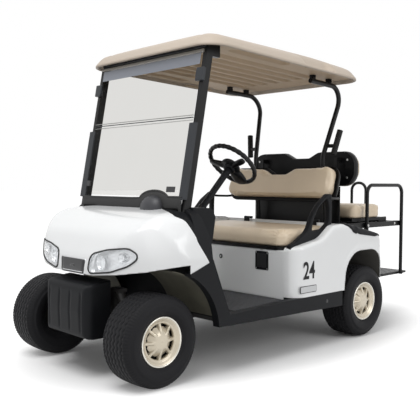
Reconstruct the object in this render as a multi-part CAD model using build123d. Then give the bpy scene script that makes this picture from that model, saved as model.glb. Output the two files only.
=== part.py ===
from build123d import *
import os
from math import cos, radians, sin

os.makedirs("parts", exist_ok=True)

# A four-seat golf cart: steered front wheels, a driver's bench over the batteries, and a
# bench that faces backwards over the rear axle. Millimetres, +X forward, +Y left, +Z up.
# The origin is on the floor, midway along and midway across the cart.

# --- driving dimensions: wheels and track ---
WHEELBASE = 1678
FRONT_TRACK = 900
REAR_TRACK = 980
REAR_OVERHANG = 812  # rear axle to the back of the foot plate
TYRE_RADIUS = 228.6
TYRE_WIDTH = 216
RIM_RADIUS = 101.6
RIM_WALL = 5
COVER_RADIUS = 123
COVER_SPOKES = 8
SPINDLE_RADIUS = 15
KINGPIN_OFFSET = 318  # from the cart's middle
KINGPIN_RADIUS = 8
STEER_ARM = 110
TIE_ROD_RADIUS = 9

# --- driving dimensions: frame, floor and body ---
RAIL_OFFSET = 165  # frame rails from the cart's middle
RAIL_WIDTH = 40
RAIL_HEIGHT = 80
RAIL_LIFT = 31.4  # rail centre above the axles
TOW_BORE_RADIUS = 10
FLOOR_THICKNESS = 10
BODY_WIDTH = 1176
PANEL_WALL = 5
COWL_HEIGHT = 546  # hood top above the floor
SEAT_BOX_HEIGHT = 290  # seat box rim above the floor
SHELF_HEIGHT = 425  # shelf behind the seat above the floor
DECK_HEIGHT = 352  # rear bag deck above the floor
ARCH_GAP = 24  # tyre to body at its nearest

# --- driving dimensions: roof and its struts ---
ROOF_LENGTH = 1372
ROOF_WIDTH = 1118
ROOF_HEIGHT = 1390  # roof lip above the floor
ROOF_CROWN = 104
ROOF_RIM = 26
ROOF_FALL = 48  # front lip to rear lip
ROOF_RECESS = 22
STRUT_OFFSET = 459
STRUT_WIDTH = 30
STRUT_DEPTH = 42
STRUT_LEAN = 10.56  # degrees back from upright
REAR_TUBE_RADIUS = 16
GLASS_WIDTH = 884
GLASS_THICKNESS = 5

# --- driving dimensions: seats and steering wheel ---
SEAT_WIDTH = 980
SEAT_DEPTH = 545
SEAT_THICKNESS = 102
BACK_WIDTH = 932
BACK_HEIGHT = 226
BACK_THICKNESS = 84
SHELL_THICKNESS = 12  # moulded backs of both backrests
BACK_LEAN = 15
REAR_SEAT_WIDTH = 820
REAR_SEAT_DEPTH = 400
REAR_SEAT_THICKNESS = 82
SEAT_BACK_DIP = 40  # depth of the notch between the two backs' shoulders
GRAB_RADIUS = 12.5
GRAB_OFFSET = 430
STEERING_WHEEL_RADIUS = 162
STEERING_RIM_RADIUS = 14
STEERING_OFFSET = 270
STEERING_TILT = 46  # column above the horizontal, degrees

# --- clearances ---
FIT = 0.3  # between pieces that move on each other or stand side by side
RUNNING = 10  # between moving pieces and what they pass

# --- places that follow ---
FRONT_AXLE_X = (WHEELBASE + REAR_OVERHANG - TYRE_RADIUS) / 2
REAR_AXLE_X = FRONT_AXLE_X - WHEELBASE
AXLE_Z = TYRE_RADIUS
RAIL_TOP = AXLE_Z + RAIL_LIFT + RAIL_HEIGHT / 2
RAIL_BOTTOM = RAIL_TOP - RAIL_HEIGHT
FLOOR_Z = RAIL_TOP + FLOOR_THICKNESS
HALF_BODY = BODY_WIDTH / 2
COWL_TOP = FLOOR_Z + COWL_HEIGHT
SEAT_BOX_Z = FLOOR_Z + SEAT_BOX_HEIGHT
SHELF_Z = FLOOR_Z + SHELF_HEIGHT
DECK_Z = FLOOR_Z + DECK_HEIGHT
ROOF_LIP_Z = FLOOR_Z + ROOF_HEIGHT


def front(distance):
    """X of a place that many millimetres ahead of the front axle."""
    return FRONT_AXLE_X + distance


def rear(distance):
    """X of a place that many millimetres ahead of the rear axle."""
    return REAR_AXLE_X + distance


# --- shapes used all over ---
def block(x, y, z):
    """A box from its three (low, high) pairs."""
    size = [high - low for low, high in (x, y, z)]
    middle = [(high + low) / 2 for low, high in (x, y, z)]
    return Pos(*middle) * Box(*size)


def side_prism(outline, low, high):
    """Extrudes across the cart an outline of (x, z, corner radius)."""
    points = [(x, low, z) for x, z, _ in outline]
    path = FilletPolyline(*points, radius=[r for _, _, r in outline], close=True)
    return extrude(make_face(path.edges()), amount=high - low, dir=(0, 1, 0))


def plan_prism(outline, low, high):
    """Extrudes upwards an outline of (x, y, corner radius)."""
    points = [(x, y, low) for x, y, _ in outline]
    path = FilletPolyline(*points, radius=[r for _, _, r in outline], close=True)
    return extrude(make_face(path.edges()), amount=high - low, dir=(0, 0, 1))


def front_prism(outline, low, high):
    """Extrudes along the cart an outline of (y, z, corner radius)."""
    points = [(low, y, z) for y, z, _ in outline]
    path = FilletPolyline(*points, radius=[r for _, _, r in outline], close=True)
    return extrude(make_face(path.edges()), amount=high - low, dir=(1, 0, 0))


def symmetric(half):
    """Closes an outline whose points are given for +Y only, from its first to its last."""
    other = [(x, -y, r) for x, y, r in reversed(half) if y != 0]
    return half + other


def rod(start, end, radius):
    """A round bar between two points."""
    line = Vector(*end) - Vector(*start)
    plane = Plane(origin=start, z_dir=line)
    return extrude(plane * Circle(radius), amount=line.length)


def tube(points, bend, radius):
    """A round tube along straight runs with one bend radius."""
    path = FilletPolyline(*points, radius=bend) if len(points) > 2 else Line(*points)
    start = Plane(origin=path @ 0, z_dir=path % 0)
    return sweep(start * Circle(radius), path=path)


def both(shape):
    """The shape and its mirror image across the cart."""
    return [shape, mirror(shape, about=Plane.XZ)]


def write(name, *shapes):
    """Writes one node, one solid for each shape's solid."""
    solids = [solid for shape in shapes for solid in shape.solids()]
    node = solids[0] if len(solids) == 1 else Compound(children=solids)
    node.label = name
    export_step(node, f"parts/{name}.step")


# --- wheels and tyres: each wheel turns on its own spindle ---
COVER_FACE = 90  # outer face of the cover from the wheel's middle
COVER_DEPTH = 8
HUB_RADIUS = 34
HUB_HALF = 40
DISC_OFFSET = 22
FLANGE_HEIGHT = 9
FLANGE_HALF = 76


def turned(section, y_middle, x, side):
    """Revolves a section of (offset, radius) about a wheel's axis; +offset is outboard."""
    points = [(x, y_middle + side * offset, AXLE_Z + r) for offset, r in section]
    face = make_face(Polyline(*points, close=True).edges())
    return revolve(face, Axis((x, 0, AXLE_Z), (0, 1, 0)), 360)


def tyre(x, y_middle, side):
    """A low tyre: straight beads, bulging sidewalls and a nearly flat tread."""
    half = TYRE_WIDTH / 2
    bead = RIM_RADIUS + FIT
    bead_half = FLANGE_HALF - FIT
    section = [  # offset, radius
        (-bead_half, bead),
        (bead_half, bead),
        (bead_half, COVER_RADIUS + 3),
        (half - 10, COVER_RADIUS + 20),
        (half, COVER_RADIUS + 42),
        (half - 2, TYRE_RADIUS - 38),
        (half - 10, TYRE_RADIUS - 16),
        (half - 26, TYRE_RADIUS - 4),
        (half - 50, TYRE_RADIUS),
    ]
    inner_side = [(-offset, r) for offset, r in reversed(section[2:])]
    return turned(section + inner_side, y_middle, x, side)


def wheel(x, y_middle, side):
    """A rim barrel, disc and hub with a spoked cover pressed on its outer face."""
    inner = RIM_RADIUS - RIM_WALL
    bore = SPINDLE_RADIUS + FIT
    face = COVER_FACE - COVER_DEPTH
    rim = [  # offset, radius
        (-FLANGE_HALF - RIM_WALL, inner),
        (DISC_OFFSET - RIM_WALL, inner),
        (DISC_OFFSET - RIM_WALL, HUB_RADIUS),
        (-HUB_HALF, HUB_RADIUS),
        (-HUB_HALF, bore),
        (HUB_HALF, bore),
        (HUB_HALF, HUB_RADIUS),
        (DISC_OFFSET, HUB_RADIUS),
        (DISC_OFFSET, inner),
        (face + 2, inner),
        (face + 2, RIM_RADIUS),
        (-FLANGE_HALF, RIM_RADIUS),
        (-FLANGE_HALF, RIM_RADIUS + FLANGE_HEIGHT),
        (-FLANGE_HALF - RIM_WALL, RIM_RADIUS + FLANGE_HEIGHT),
    ]
    cover = [
        (face, 0),
        (COVER_FACE, 0),
        (COVER_FACE, COVER_RADIUS - 4),
        (face + 2, COVER_RADIUS),
        (face, COVER_RADIUS),
    ]
    solid = turned(rim, y_middle, x, side) + turned(cover, y_middle, x, side)
    centre = Pos(x, y_middle + side * (COVER_FACE - COVER_DEPTH / 2), AXLE_Z)
    window_height = 36
    window = Box(22, COVER_DEPTH * 2, window_height)
    window_radius = inner - 8 - window_height / 2
    for spoke in range(COVER_SPOKES):
        angle = 360 / COVER_SPOKES * (spoke + 0.5)
        solid -= centre * Rot(0, angle, 0) * Pos(0, 0, window_radius) * window
    return solid


WHEELS = [  # name, axle x, wheel middle y, side
    ("front_left", FRONT_AXLE_X, FRONT_TRACK / 2, 1),
    ("front_right", FRONT_AXLE_X, -FRONT_TRACK / 2, -1),
    ("rear_left", REAR_AXLE_X, REAR_TRACK / 2, 1),
    ("rear_right", REAR_AXLE_X, -REAR_TRACK / 2, -1),
]
for place, axle_x, y_middle, side in WHEELS:
    write(f"tyre_{place}", tyre(axle_x, y_middle, side))
    write(f"wheel_{place}", wheel(axle_x, y_middle, side))

# --- front suspension: forks that hold the kingpins, arms and dampers ---
FORK_HALF = 66  # half the gap between the fork's ears
EAR_THICKNESS = 10
FORK_HALF_DEPTH = 20
BARREL_RADIUS = 15
ARM_EYE_Z = AXLE_Z - 50
TIE_ROD_Z = ARM_EYE_Z - 18
fork_back = KINGPIN_OFFSET - BARREL_RADIUS - 26  # room for the steering arm at full lock
fork_ear = (fork_back, KINGPIN_OFFSET + BARREL_RADIUS)
ear_outer = FORK_HALF + EAR_THICKNESS
fork = block(
    (front(-FORK_HALF_DEPTH), front(FORK_HALF_DEPTH)),
    (fork_back, fork_back + 10),
    (AXLE_Z - ear_outer, AXLE_Z + ear_outer),
)
for low, high in ((-ear_outer, -FORK_HALF), (FORK_HALF, ear_outer)):
    fork += block(
        (front(-FORK_HALF_DEPTH), front(FORK_HALF_DEPTH)), fork_ear, (AXLE_Z + low, AXLE_Z + high)
    )
fork += rod(
    (FRONT_AXLE_X, KINGPIN_OFFSET, AXLE_Z - ear_outer),
    (FRONT_AXLE_X, KINGPIN_OFFSET, AXLE_Z + ear_outer),
    KINGPIN_RADIUS,
)
rail_outer = RAIL_OFFSET + RAIL_WIDTH / 2
lower_arm_z = (AXLE_Z - ear_outer, AXLE_Z - ear_outer + 14)
lower_arm = block((front(-55), front(55)), (rail_outer, fork_back + 0.5), lower_arm_z)
arm_mount = block(
    (front(-55), front(55)), (rail_outer - RAIL_WIDTH, rail_outer), (lower_arm_z[0], RAIL_BOTTOM)
)
damper_foot = (FRONT_AXLE_X, fork_back + 6, AXLE_Z + ear_outer - 6)
damper_head = (FRONT_AXLE_X, rail_outer + 14, RAIL_TOP + 130)
damper_middle = [(a + b) / 2 for a, b in zip(damper_foot, damper_head)]
damper = rod(damper_foot, damper_head, 9) + rod(damper_middle, damper_head, 24)
tower = block(
    (front(-25), front(25)), (rail_outer - RAIL_WIDTH, rail_outer), (RAIL_TOP, RAIL_TOP + 150)
)
tower += block(
    (front(-25), front(25)), (rail_outer, rail_outer + 40), (RAIL_TOP + 130, RAIL_TOP + 150)
)
write("front_suspension", *both(fork + lower_arm + arm_mount + damper + tower))

# --- knuckles: a barrel on the kingpin, the wheel spindle and the steering arm ---
def knuckle(side):
    """Turns on its kingpin and carries the wheel on its spindle."""
    y = side * KINGPIN_OFFSET
    spindle_end = side * (FRONT_TRACK / 2 + HUB_HALF + 12)
    half = FORK_HALF - FIT
    shape = Pos(FRONT_AXLE_X, y, AXLE_Z) * Cylinder(BARREL_RADIUS, 2 * half)
    shape += rod((FRONT_AXLE_X, y, AXLE_Z), (FRONT_AXLE_X, spindle_end, AXLE_Z), SPINDLE_RADIUS)
    shoulder_end = side * (FRONT_TRACK / 2 - HUB_HALF - FIT)
    shape += rod(
        (FRONT_AXLE_X, y, AXLE_Z), (FRONT_AXLE_X, shoulder_end, AXLE_Z), SPINDLE_RADIUS + 7
    )
    eye = front(-STEER_ARM)
    shape += block((eye, FRONT_AXLE_X), (y - 11, y + 11), (ARM_EYE_Z - 6, ARM_EYE_Z + 6))
    shape += Pos(eye, y, ARM_EYE_Z) * Cylinder(14, 12)
    shape -= Pos(eye, y, ARM_EYE_Z) * Cylinder(6 + FIT, 30)
    return shape - Pos(FRONT_AXLE_X, y, AXLE_Z) * Cylinder(KINGPIN_RADIUS + FIT, 3 * FORK_HALF)


write("knuckle_left", knuckle(1))
write("knuckle_right", knuckle(-1))

eye_x = front(-STEER_ARM)
tie_rod = rod((eye_x, -KINGPIN_OFFSET, TIE_ROD_Z), (eye_x, KINGPIN_OFFSET, TIE_ROD_Z), TIE_ROD_RADIUS)
for y in (-KINGPIN_OFFSET, KINGPIN_OFFSET):
    tie_rod += Pos(eye_x, y, TIE_ROD_Z) * Cylinder(12, 20)
    tie_rod += rod((eye_x, y, TIE_ROD_Z), (eye_x, y, ARM_EYE_Z + 8), 6)
write("tie_rod", tie_rod)

# --- frame: two rails that rise over the rear axle, with cross members ---
KICK_UP = 100  # rise of the rails over the rear axle
KICK_START = rear(TYRE_RADIUS + 140)
KICK_END = rear(TYRE_RADIUS + 20)
NOSE_X = front(175)
APRON_FRONT = front(212)
BODY_REAR = rear(-TYRE_RADIUS - 24)
TAIL_X = BODY_REAR + PANEL_WALL + FIT
rail = side_prism(
    [  # x, z, corner radius
        (NOSE_X, RAIL_TOP, 0),
        (KICK_START, RAIL_TOP, 0),
        (KICK_END, RAIL_TOP + KICK_UP, 0),
        (TAIL_X, RAIL_TOP + KICK_UP, 0),
        (TAIL_X, RAIL_BOTTOM + KICK_UP + RAIL_HEIGHT / 2, 0),
        (KICK_END, RAIL_BOTTOM + KICK_UP + RAIL_HEIGHT / 2, 0),
        (KICK_START, RAIL_BOTTOM, 0),
        (NOSE_X, RAIL_BOTTOM, 0),
    ],
    RAIL_OFFSET - RAIL_WIDTH / 2,
    rail_outer,
)
frame = rail + mirror(rail, about=Plane.XZ)
inner_rail = RAIL_OFFSET - RAIL_WIDTH / 2
CROSS_MEMBERS = [  # x, width, z low, z high
    (NOSE_X - 20, 40, RAIL_BOTTOM, RAIL_TOP),
    (front(-250), 50, RAIL_BOTTOM + 10, RAIL_TOP - 10),
    (rear(720), 50, RAIL_BOTTOM + 10, RAIL_TOP - 10),
    (TAIL_X + 20, 40, RAIL_TOP + KICK_UP - 40, RAIL_TOP + KICK_UP),
]
for x, width, z_low, z_high in CROSS_MEMBERS:
    frame += block((x - width / 2, x + width / 2), (-inner_rail, inner_rail), (z_low, z_high))
# outriggers under the floor carry the sills and the seat box
SILL_WIDTH = 46
outrigger_end = HALF_BODY - SILL_WIDTH - FIT
OUTRIGGERS = [front(-430), rear(760), rear(TYRE_RADIUS + 90)]
for x in OUTRIGGERS:
    for y_pair in ((rail_outer, outrigger_end), (-outrigger_end, -rail_outer)):
        frame += block((x - 20, x + 20), y_pair, (RAIL_TOP - 40, RAIL_TOP))
# stubs on the nose member hold the bumper apron
for y in (-80, 80):
    frame += block(
        (NOSE_X, APRON_FRONT - PANEL_WALL - FIT), (y - 20, y + 20), (RAIL_BOTTOM + 20, RAIL_TOP - 20)
    )
# a tow bar is pinned from below in the nose member
frame -= rod((NOSE_X - 20, 0, RAIL_BOTTOM), (NOSE_X - 20, 0, RAIL_TOP), TOW_BORE_RADIUS)
write("chassis_frame", frame)

# --- rear axle: tube, gear case, brake drums and spindles; motor beside the gear case ---
MOTOR_RADIUS = 84
MOTOR_LENGTH = 230
MOTOR_AHEAD = 150  # motor axis ahead of the rear axle
CASE_WIDTH = 70
AXLE_TUBE_RADIUS = 35
DRUM_RADIUS = 82
drum_outer = REAR_TRACK / 2 - HUB_HALF - FIT
axle_tube_end = drum_outer - 40
rear_axle = rod(
    (REAR_AXLE_X, -axle_tube_end, AXLE_Z), (REAR_AXLE_X, axle_tube_end, AXLE_Z), AXLE_TUBE_RADIUS
)
case_low = 80
case_link = (REAR_AXLE_X, rear(MOTOR_AHEAD))
for x in case_link:
    rear_axle += rod((x, case_low, AXLE_Z), (x, case_low + CASE_WIDTH, AXLE_Z), MOTOR_RADIUS + 12)
rear_axle += block(
    case_link, (case_low, case_low + CASE_WIDTH), (AXLE_Z - MOTOR_RADIUS, AXLE_Z + MOTOR_RADIUS)
)
for side in (-1, 1):
    start = (REAR_AXLE_X, side * axle_tube_end, AXLE_Z)
    rear_axle += rod(start, (REAR_AXLE_X, side * drum_outer, AXLE_Z), DRUM_RADIUS)
    spindle_end = side * (REAR_TRACK / 2 + HUB_HALF + 12)
    rear_axle += rod(start, (REAR_AXLE_X, spindle_end, AXLE_Z), SPINDLE_RADIUS)
write("rear_axle", rear_axle)
write(
    "drive_motor",
    rod(
        (rear(MOTOR_AHEAD), case_low - MOTOR_LENGTH, AXLE_Z),
        (rear(MOTOR_AHEAD), case_low, AXLE_Z),
        MOTOR_RADIUS,
    ),
)

# --- rear leaf springs with their hangers and damper links ---
SPRING_OFFSET = 290
SPRING_HALF_WIDTH = 25
SPRING_REACH = 228  # from the axle to each eye
SPRING_RISE = 45
LEAF = 12
leaf_low = AXLE_Z + AXLE_TUBE_RADIUS
spring = side_prism(
    [  # x, z, corner radius
        (rear(-SPRING_REACH), leaf_low + SPRING_RISE, 0),
        (rear(-70), leaf_low, 0),
        (rear(70), leaf_low, 0),
        (rear(SPRING_REACH), leaf_low + SPRING_RISE, 0),
        (rear(SPRING_REACH), leaf_low + SPRING_RISE + LEAF, 0),
        (rear(70), leaf_low + LEAF, 0),
        (rear(-70), leaf_low + LEAF, 0),
        (rear(-SPRING_REACH), leaf_low + SPRING_RISE + LEAF, 0),
    ],
    SPRING_OFFSET - SPRING_HALF_WIDTH,
    SPRING_OFFSET + SPRING_HALF_WIDTH,
)
rail_low_at_tail = RAIL_BOTTOM + KICK_UP + RAIL_HEIGHT / 2
for x in (rear(-SPRING_REACH), rear(SPRING_REACH)):
    eye_y = (SPRING_OFFSET - SPRING_HALF_WIDTH, SPRING_OFFSET + SPRING_HALF_WIDTH)
    eye_z = leaf_low + SPRING_RISE + LEAF / 2
    spring += rod((x, eye_y[0], eye_z), (x, eye_y[1], eye_z), 14)
    spring += block((x - 10, x + 10), eye_y, (eye_z, rail_low_at_tail + 30))
    spring += block(
        (x - 15, x + 15), (rail_outer, eye_y[1]), (rail_low_at_tail + 5, rail_low_at_tail + 30)
    )
spring -= rod((REAR_AXLE_X, 0, AXLE_Z), (REAR_AXLE_X, axle_tube_end, AXLE_Z), AXLE_TUBE_RADIUS)
write("rear_springs", *both(spring))

# --- battery pack: one plain block on the frame, under the seat ---
BATTERY_LENGTH = 325
BATTERY_WIDTH = 780
BATTERY_HEIGHT = 235
battery_rear = KICK_START + 12
write(
    "battery_pack",
    block(
        (battery_rear, battery_rear + BATTERY_LENGTH),
        (-BATTERY_WIDTH / 2, BATTERY_WIDTH / 2),
        (FLOOR_Z, FLOOR_Z + BATTERY_HEIGHT),
    ),
)

# --- floor and sills: one moulding with an upright behind each front arch ---
FRONT_ARCH_RADIUS = TYRE_RADIUS + 110
SILL_RISE = 17  # sill top above the floor, where the rear body stands
SILL_DEPTH = 95
ARCH_FRONT = TYRE_RADIUS + ARCH_GAP + 6  # rear arch, ahead of the axle
ARCH_REAR = TYRE_RADIUS - ARCH_GAP  # rear arch, behind the axle
ARCH_TOP = AXLE_Z + TYRE_RADIUS + 109
ARCH_BOTTOM = 200
BATTERY_GAP = 22.4  # batteries to the front of the seat box
BODY_FRONT = battery_rear + BATTERY_LENGTH + BATTERY_GAP
sill_top = FLOOR_Z + SILL_RISE
TRIM_FOOT = (front(-293), FLOOR_Z + 299)  # where the dash trim stands on the sill's upright
COWL_FOOT = (front(-265), FLOOR_Z + 285)  # the cowl's lower rear corner
COWL_ARCH_END = (front(-140), FLOOR_Z + 239)
sill = side_prism(
    [  # x, z, corner radius
        (front(-331), FLOOR_Z - 53, 0),
        (rear(ARCH_FRONT), sill_top - SILL_DEPTH, 0),
        (rear(ARCH_FRONT), sill_top, 0),
        (BODY_FRONT + 70, sill_top, 0),
        (front(-418), FLOOR_Z, 0),
        (*TRIM_FOOT, 0),
        (*COWL_FOOT, 0),
        (*COWL_ARCH_END, 0),
        (front(-140), FLOOR_Z - 53, 0),
    ],
    HALF_BODY - SILL_WIDTH,
    HALF_BODY,
)
floor_front = front(-FRONT_ARCH_RADIUS - 8)
floor_rear = KICK_START + 4
floor = block(
    (floor_rear, floor_front), (-HALF_BODY + SILL_WIDTH, HALF_BODY - SILL_WIDTH), (RAIL_TOP, FLOOR_Z)
)
for half in both(sill):
    floor += half
front_arch = Pos(FRONT_AXLE_X, 0, AXLE_Z) * Rot(90, 0, 0) * Cylinder(FRONT_ARCH_RADIUS, 2 * BODY_WIDTH)
write("floor_and_sills", floor - front_arch)

# --- wheel liners: curved splash guards behind the front wheels ---
LINER_WALL = 4
LINER_INNER_Y = 216
liner_outer_y = HALF_BODY - SILL_WIDTH - FIT
liner = Pos(FRONT_AXLE_X, (LINER_INNER_Y + liner_outer_y) / 2, AXLE_Z) * Rot(90, 0, 0) * (
    Cylinder(FRONT_ARCH_RADIUS + LINER_WALL, liner_outer_y - LINER_INNER_Y)
    - Cylinder(FRONT_ARCH_RADIUS, liner_outer_y - LINER_INNER_Y)
)
liner &= block((front(-600), front(-60)), (0, HALF_BODY), (FLOOR_Z + FIT, COWL_FOOT[1] + 40))

# --- rear body: a thin moulding from the seat box to the tail ---
BODY_TAIL_Z = FLOOR_Z + 52
SEAT_RECESS_HALF = SEAT_WIDTH / 2 + 5
SEAT_REAR = BODY_FRONT - SEAT_DEPTH - 5
WHEELHOUSE_Y = REAR_TRACK / 2 - TYRE_WIDTH / 2 - ARCH_GAP
DECK_THICKNESS = 8
BODY_TOP = [  # x, z, corner radius, from the seat box back to the tail
    (BODY_FRONT, SEAT_BOX_Z + 17, 15),
    (rear(490), FLOOR_Z + 355, 90),
    (rear(370), SHELF_Z + 3, 50),
    (rear(262), SHELF_Z + 7, 50),
    (rear(150), SHELF_Z, 0),
    (rear(105), DECK_Z, 0),
    (rear(-165), DECK_Z - 6, 0),
    (BODY_REAR, FLOOR_Z + 250, 60),
]


def body_solid(inset):
    """The rear body's outer form, or the same form moved inwards by a wall."""
    drop = 0 if inset == 0 else 20  # the inner form runs out through the open bottom
    side = [(x, z - inset, r) for x, z, r in BODY_TOP]
    side[0] = (BODY_FRONT - inset, SEAT_BOX_Z + 17 - inset, 15)
    side[-1] = (BODY_REAR + inset, FLOOR_Z + 250, 60)
    side += [
        (BODY_REAR + inset, BODY_TAIL_Z - drop, 0),
        (REAR_AXLE_X, BODY_TAIL_Z - drop, 0),
        (REAR_AXLE_X, sill_top + FIT - drop, 0),
        (BODY_FRONT - inset, sill_top + FIT - drop, 0),
    ]
    half = HALF_BODY - inset
    plan = symmetric(
        [  # x, y, corner radius
            (BODY_FRONT - inset, half, 90 - inset),
            (BODY_REAR + inset, half, 110 - inset),
        ]
    )
    shape = side_prism(side, -half, half)
    shape &= plan_prism(plan, AXLE_Z, ROOF_LIP_Z)
    recess = block(
        (SEAT_REAR - inset, BODY_FRONT + 50),
        (-SEAT_RECESS_HALF - inset, SEAT_RECESS_HALF + inset),
        (SEAT_BOX_Z - inset, ROOF_LIP_Z),
    )
    return shape - recess


def arch_prism(inset, low, high):
    """The space of a rear wheel arch, or the same space grown by a wall."""
    outline = [  # x, z, corner radius
        (rear(ARCH_FRONT + inset), ARCH_BOTTOM, 0),
        (rear(ARCH_FRONT - 40 + inset), ARCH_TOP + inset, 170),
        (rear(-ARCH_REAR + 50 - inset), ARCH_TOP + inset, 130),
        (rear(-TYRE_RADIUS - 4 - inset), ARCH_BOTTOM, 0),
    ]
    return side_prism(outline, low, high)


cavity = body_solid(PANEL_WALL)
for space in both(arch_prism(PANEL_WALL, WHEELHOUSE_Y - PANEL_WALL, HALF_BODY)):
    cavity -= space
rear_body = body_solid(0) - cavity
for space in both(arch_prism(0, WHEELHOUSE_Y, HALF_BODY + 10)):
    rear_body -= space
# the front panel's foot reaches down to the floor between the sills
rear_body += block(
    (BODY_FRONT - PANEL_WALL, BODY_FRONT),
    (-HALF_BODY + 90, HALF_BODY - 90),
    (FLOOR_Z + FIT, sill_top + 20),
)
# opening over the batteries, under the seat lid
rear_body -= block(
    (SEAT_REAR + 45, BODY_FRONT - 40),
    (-SEAT_RECESS_HALF + 55, SEAT_RECESS_HALF - 55),
    (SEAT_BOX_Z - 50, SEAT_BOX_Z + 50),
)
write("rear_body", rear_body)

# --- bag deck: a moulded tray on top of the rear body ---
deck_line = [
    (rear(105 + 38), DECK_Z + 62),
    (rear(105), DECK_Z),
    (rear(-165), DECK_Z - 6),
]
deck_outline = [(x, z + FIT, 0) for x, z in deck_line]
deck_outline += [(x, z + DECK_THICKNESS, 0) for x, z in reversed(deck_line)]
write("bag_deck", side_prism(deck_outline, -HALF_BODY + 66, HALF_BODY - 66))

# --- leaning frame of the front struts and windshield; the local origin is the glass foot ---
LEAN = radians(STRUT_LEAN)
leaning = Plane(
    origin=(front(-227), 0, FLOOR_Z + 586),
    x_dir=(cos(LEAN), 0, sin(LEAN)),
    z_dir=(-sin(LEAN), 0, cos(LEAN)),
).location
STRUT_FOOT = -70
STRUT_HEAD = 800


def strut(grow):
    """One front strut, or the slot that it stands in."""
    return leaning * block(
        (-STRUT_DEPTH / 2 - grow, STRUT_DEPTH / 2 + grow),
        (STRUT_OFFSET - STRUT_WIDTH / 2 - grow, STRUT_OFFSET + STRUT_WIDTH / 2 + grow),
        (STRUT_FOOT - grow, STRUT_HEAD),
    )


strut_slots = both(strut(FIT))

# --- front cowl: a thin painted shell, rounded in plan, side and front view ---
COWL_NOSE = front(162)
COWL_LIP_Z = FLOOR_Z + 187
COWL_BACK = front(-200)
LAMP_DEPTH = 34
HOOD_DIP = 18  # fall of the hood from its rear edge to its shoulder


def cowl_form(inset):
    """The cowl's outer form, or the same form moved inwards by a wall."""
    drop = 0 if inset == 0 else 30  # the inner form runs out through the open bottom and back
    half = HALF_BODY - inset
    top = COWL_TOP - inset
    nose = COWL_NOSE - inset
    side = [  # x, z, corner radius
        (nose - 14, COWL_LIP_Z - drop, 0),
        (nose, COWL_LIP_Z + 80, 60),
        (nose - 60, COWL_TOP - 130 - inset, 120),
        (front(-30), top - HOOD_DIP, 150),
        (COWL_BACK - drop, top, 0),
        (front(-197) - drop, FLOOR_Z + 399, 60),
        (COWL_FOOT[0] - drop, COWL_FOOT[1], 0),
        (COWL_ARCH_END[0], COWL_ARCH_END[1] - drop, 0),
        (front(-140), COWL_LIP_Z - drop, 0),
    ]
    plan = symmetric(
        [  # x, y, corner radius
            (nose, 250 - inset, 230),
            (front(85) - inset, 500 - inset, 90),
            (front(10), half, 80),
            (COWL_BACK - 100, half, 0),
        ]
    )
    shape = side_prism(side, -half, half)
    shape &= plan_prism(plan, AXLE_Z, COWL_TOP + 10)
    shape &= front_prism(shoulders(inset, top, COWL_LIP_Z - drop), COWL_BACK - 200, COWL_NOSE + 10)
    return shape - front_arch


def shoulders(inset, top, low):
    """The front view that the cowl and the dash trim share: round shoulders over the arches."""
    right = [  # y, z, corner radius
        (HALF_BODY - 78 - inset, top, 100),
        (HALF_BODY - 26 - inset, FLOOR_Z + 410, 60),
        (HALF_BODY - inset, COWL_FOOT[1], 0),
        (HALF_BODY - inset, COWL_FOOT[1] - 8 - (COWL_LIP_Z - low), 0),
        (300, low + 20, 0),
        (200, low, 0),
    ]
    left = [(-y, z, r) for y, z, r in reversed(right)]
    return right + left


def lamp_prism(grow, side):
    """A headlamp's outline seen from the front, run through the cowl."""
    outline = [  # y, z, corner radius
        (side * (138 - grow), FLOOR_Z + 222 - grow, 14),
        (side * (150 - grow), FLOOR_Z + 322 + grow, 30),
        (side * (385 + grow), FLOOR_Z + 366 + grow, 34),
        (side * (442 + grow), FLOOR_Z + 326, 30),
        (side * (330 + grow), FLOOR_Z + 246 - grow, 60),
    ]
    return front_prism(outline, front(-60), COWL_NOSE + 10)


cowl = cowl_form(0)
lamp_band = cowl - cowl_form(LAMP_DEPTH)
lamps = [lamp_band & lamp_prism(0, side) for side in (1, -1)]
shell = cowl - cowl_form(PANEL_WALL)
for side in (1, -1):
    shell -= lamp_prism(FIT, side)
for slot in strut_slots:
    shell -= slot
write("front_cowl", shell)
write("headlamps", *lamps)

# --- instrument cover: a small black dome on the hood's rear edge ---
COVER_MIDDLE = 210
COVER_HALF = 100
COVER_TOP = COWL_TOP + 92


def hood_top(x):
    """Height of the hood just ahead of the windshield."""
    return COWL_TOP - HOOD_DIP * (x - COWL_BACK) / (front(-30) - COWL_BACK)


cover_x = (front(-198), front(-135))
cover = side_prism(
    [  # x, z, corner radius
        (cover_x[0], hood_top(cover_x[0]) + FIT, 0),
        (cover_x[0], COVER_TOP, 12),
        (cover_x[0] + 26, COVER_TOP - 8, 14),
        (cover_x[1], hood_top(cover_x[1]) + 18, 14),
        (cover_x[1], hood_top(cover_x[1]) + FIT, 0),
    ],
    COVER_MIDDLE - COVER_HALF,
    COVER_MIDDLE + COVER_HALF,
)
cover &= front_prism(
    [  # y, z, corner radius
        (COVER_MIDDLE - COVER_HALF, COWL_TOP - HOOD_DIP, 0),
        (COVER_MIDDLE - COVER_HALF + 12, COVER_TOP, 55),
        (COVER_MIDDLE + COVER_HALF - 12, COVER_TOP, 55),
        (COVER_MIDDLE + COVER_HALF, COWL_TOP - HOOD_DIP, 0),
    ],
    *cover_x,
)
write("instrument_cover", cover)

# --- bumper apron: a deep black moulding round the frame's nose ---
APRON_HALF = 200
APRON_TOP = COWL_LIP_Z - 24
APRON_BOTTOM = FLOOR_Z - 104


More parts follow.
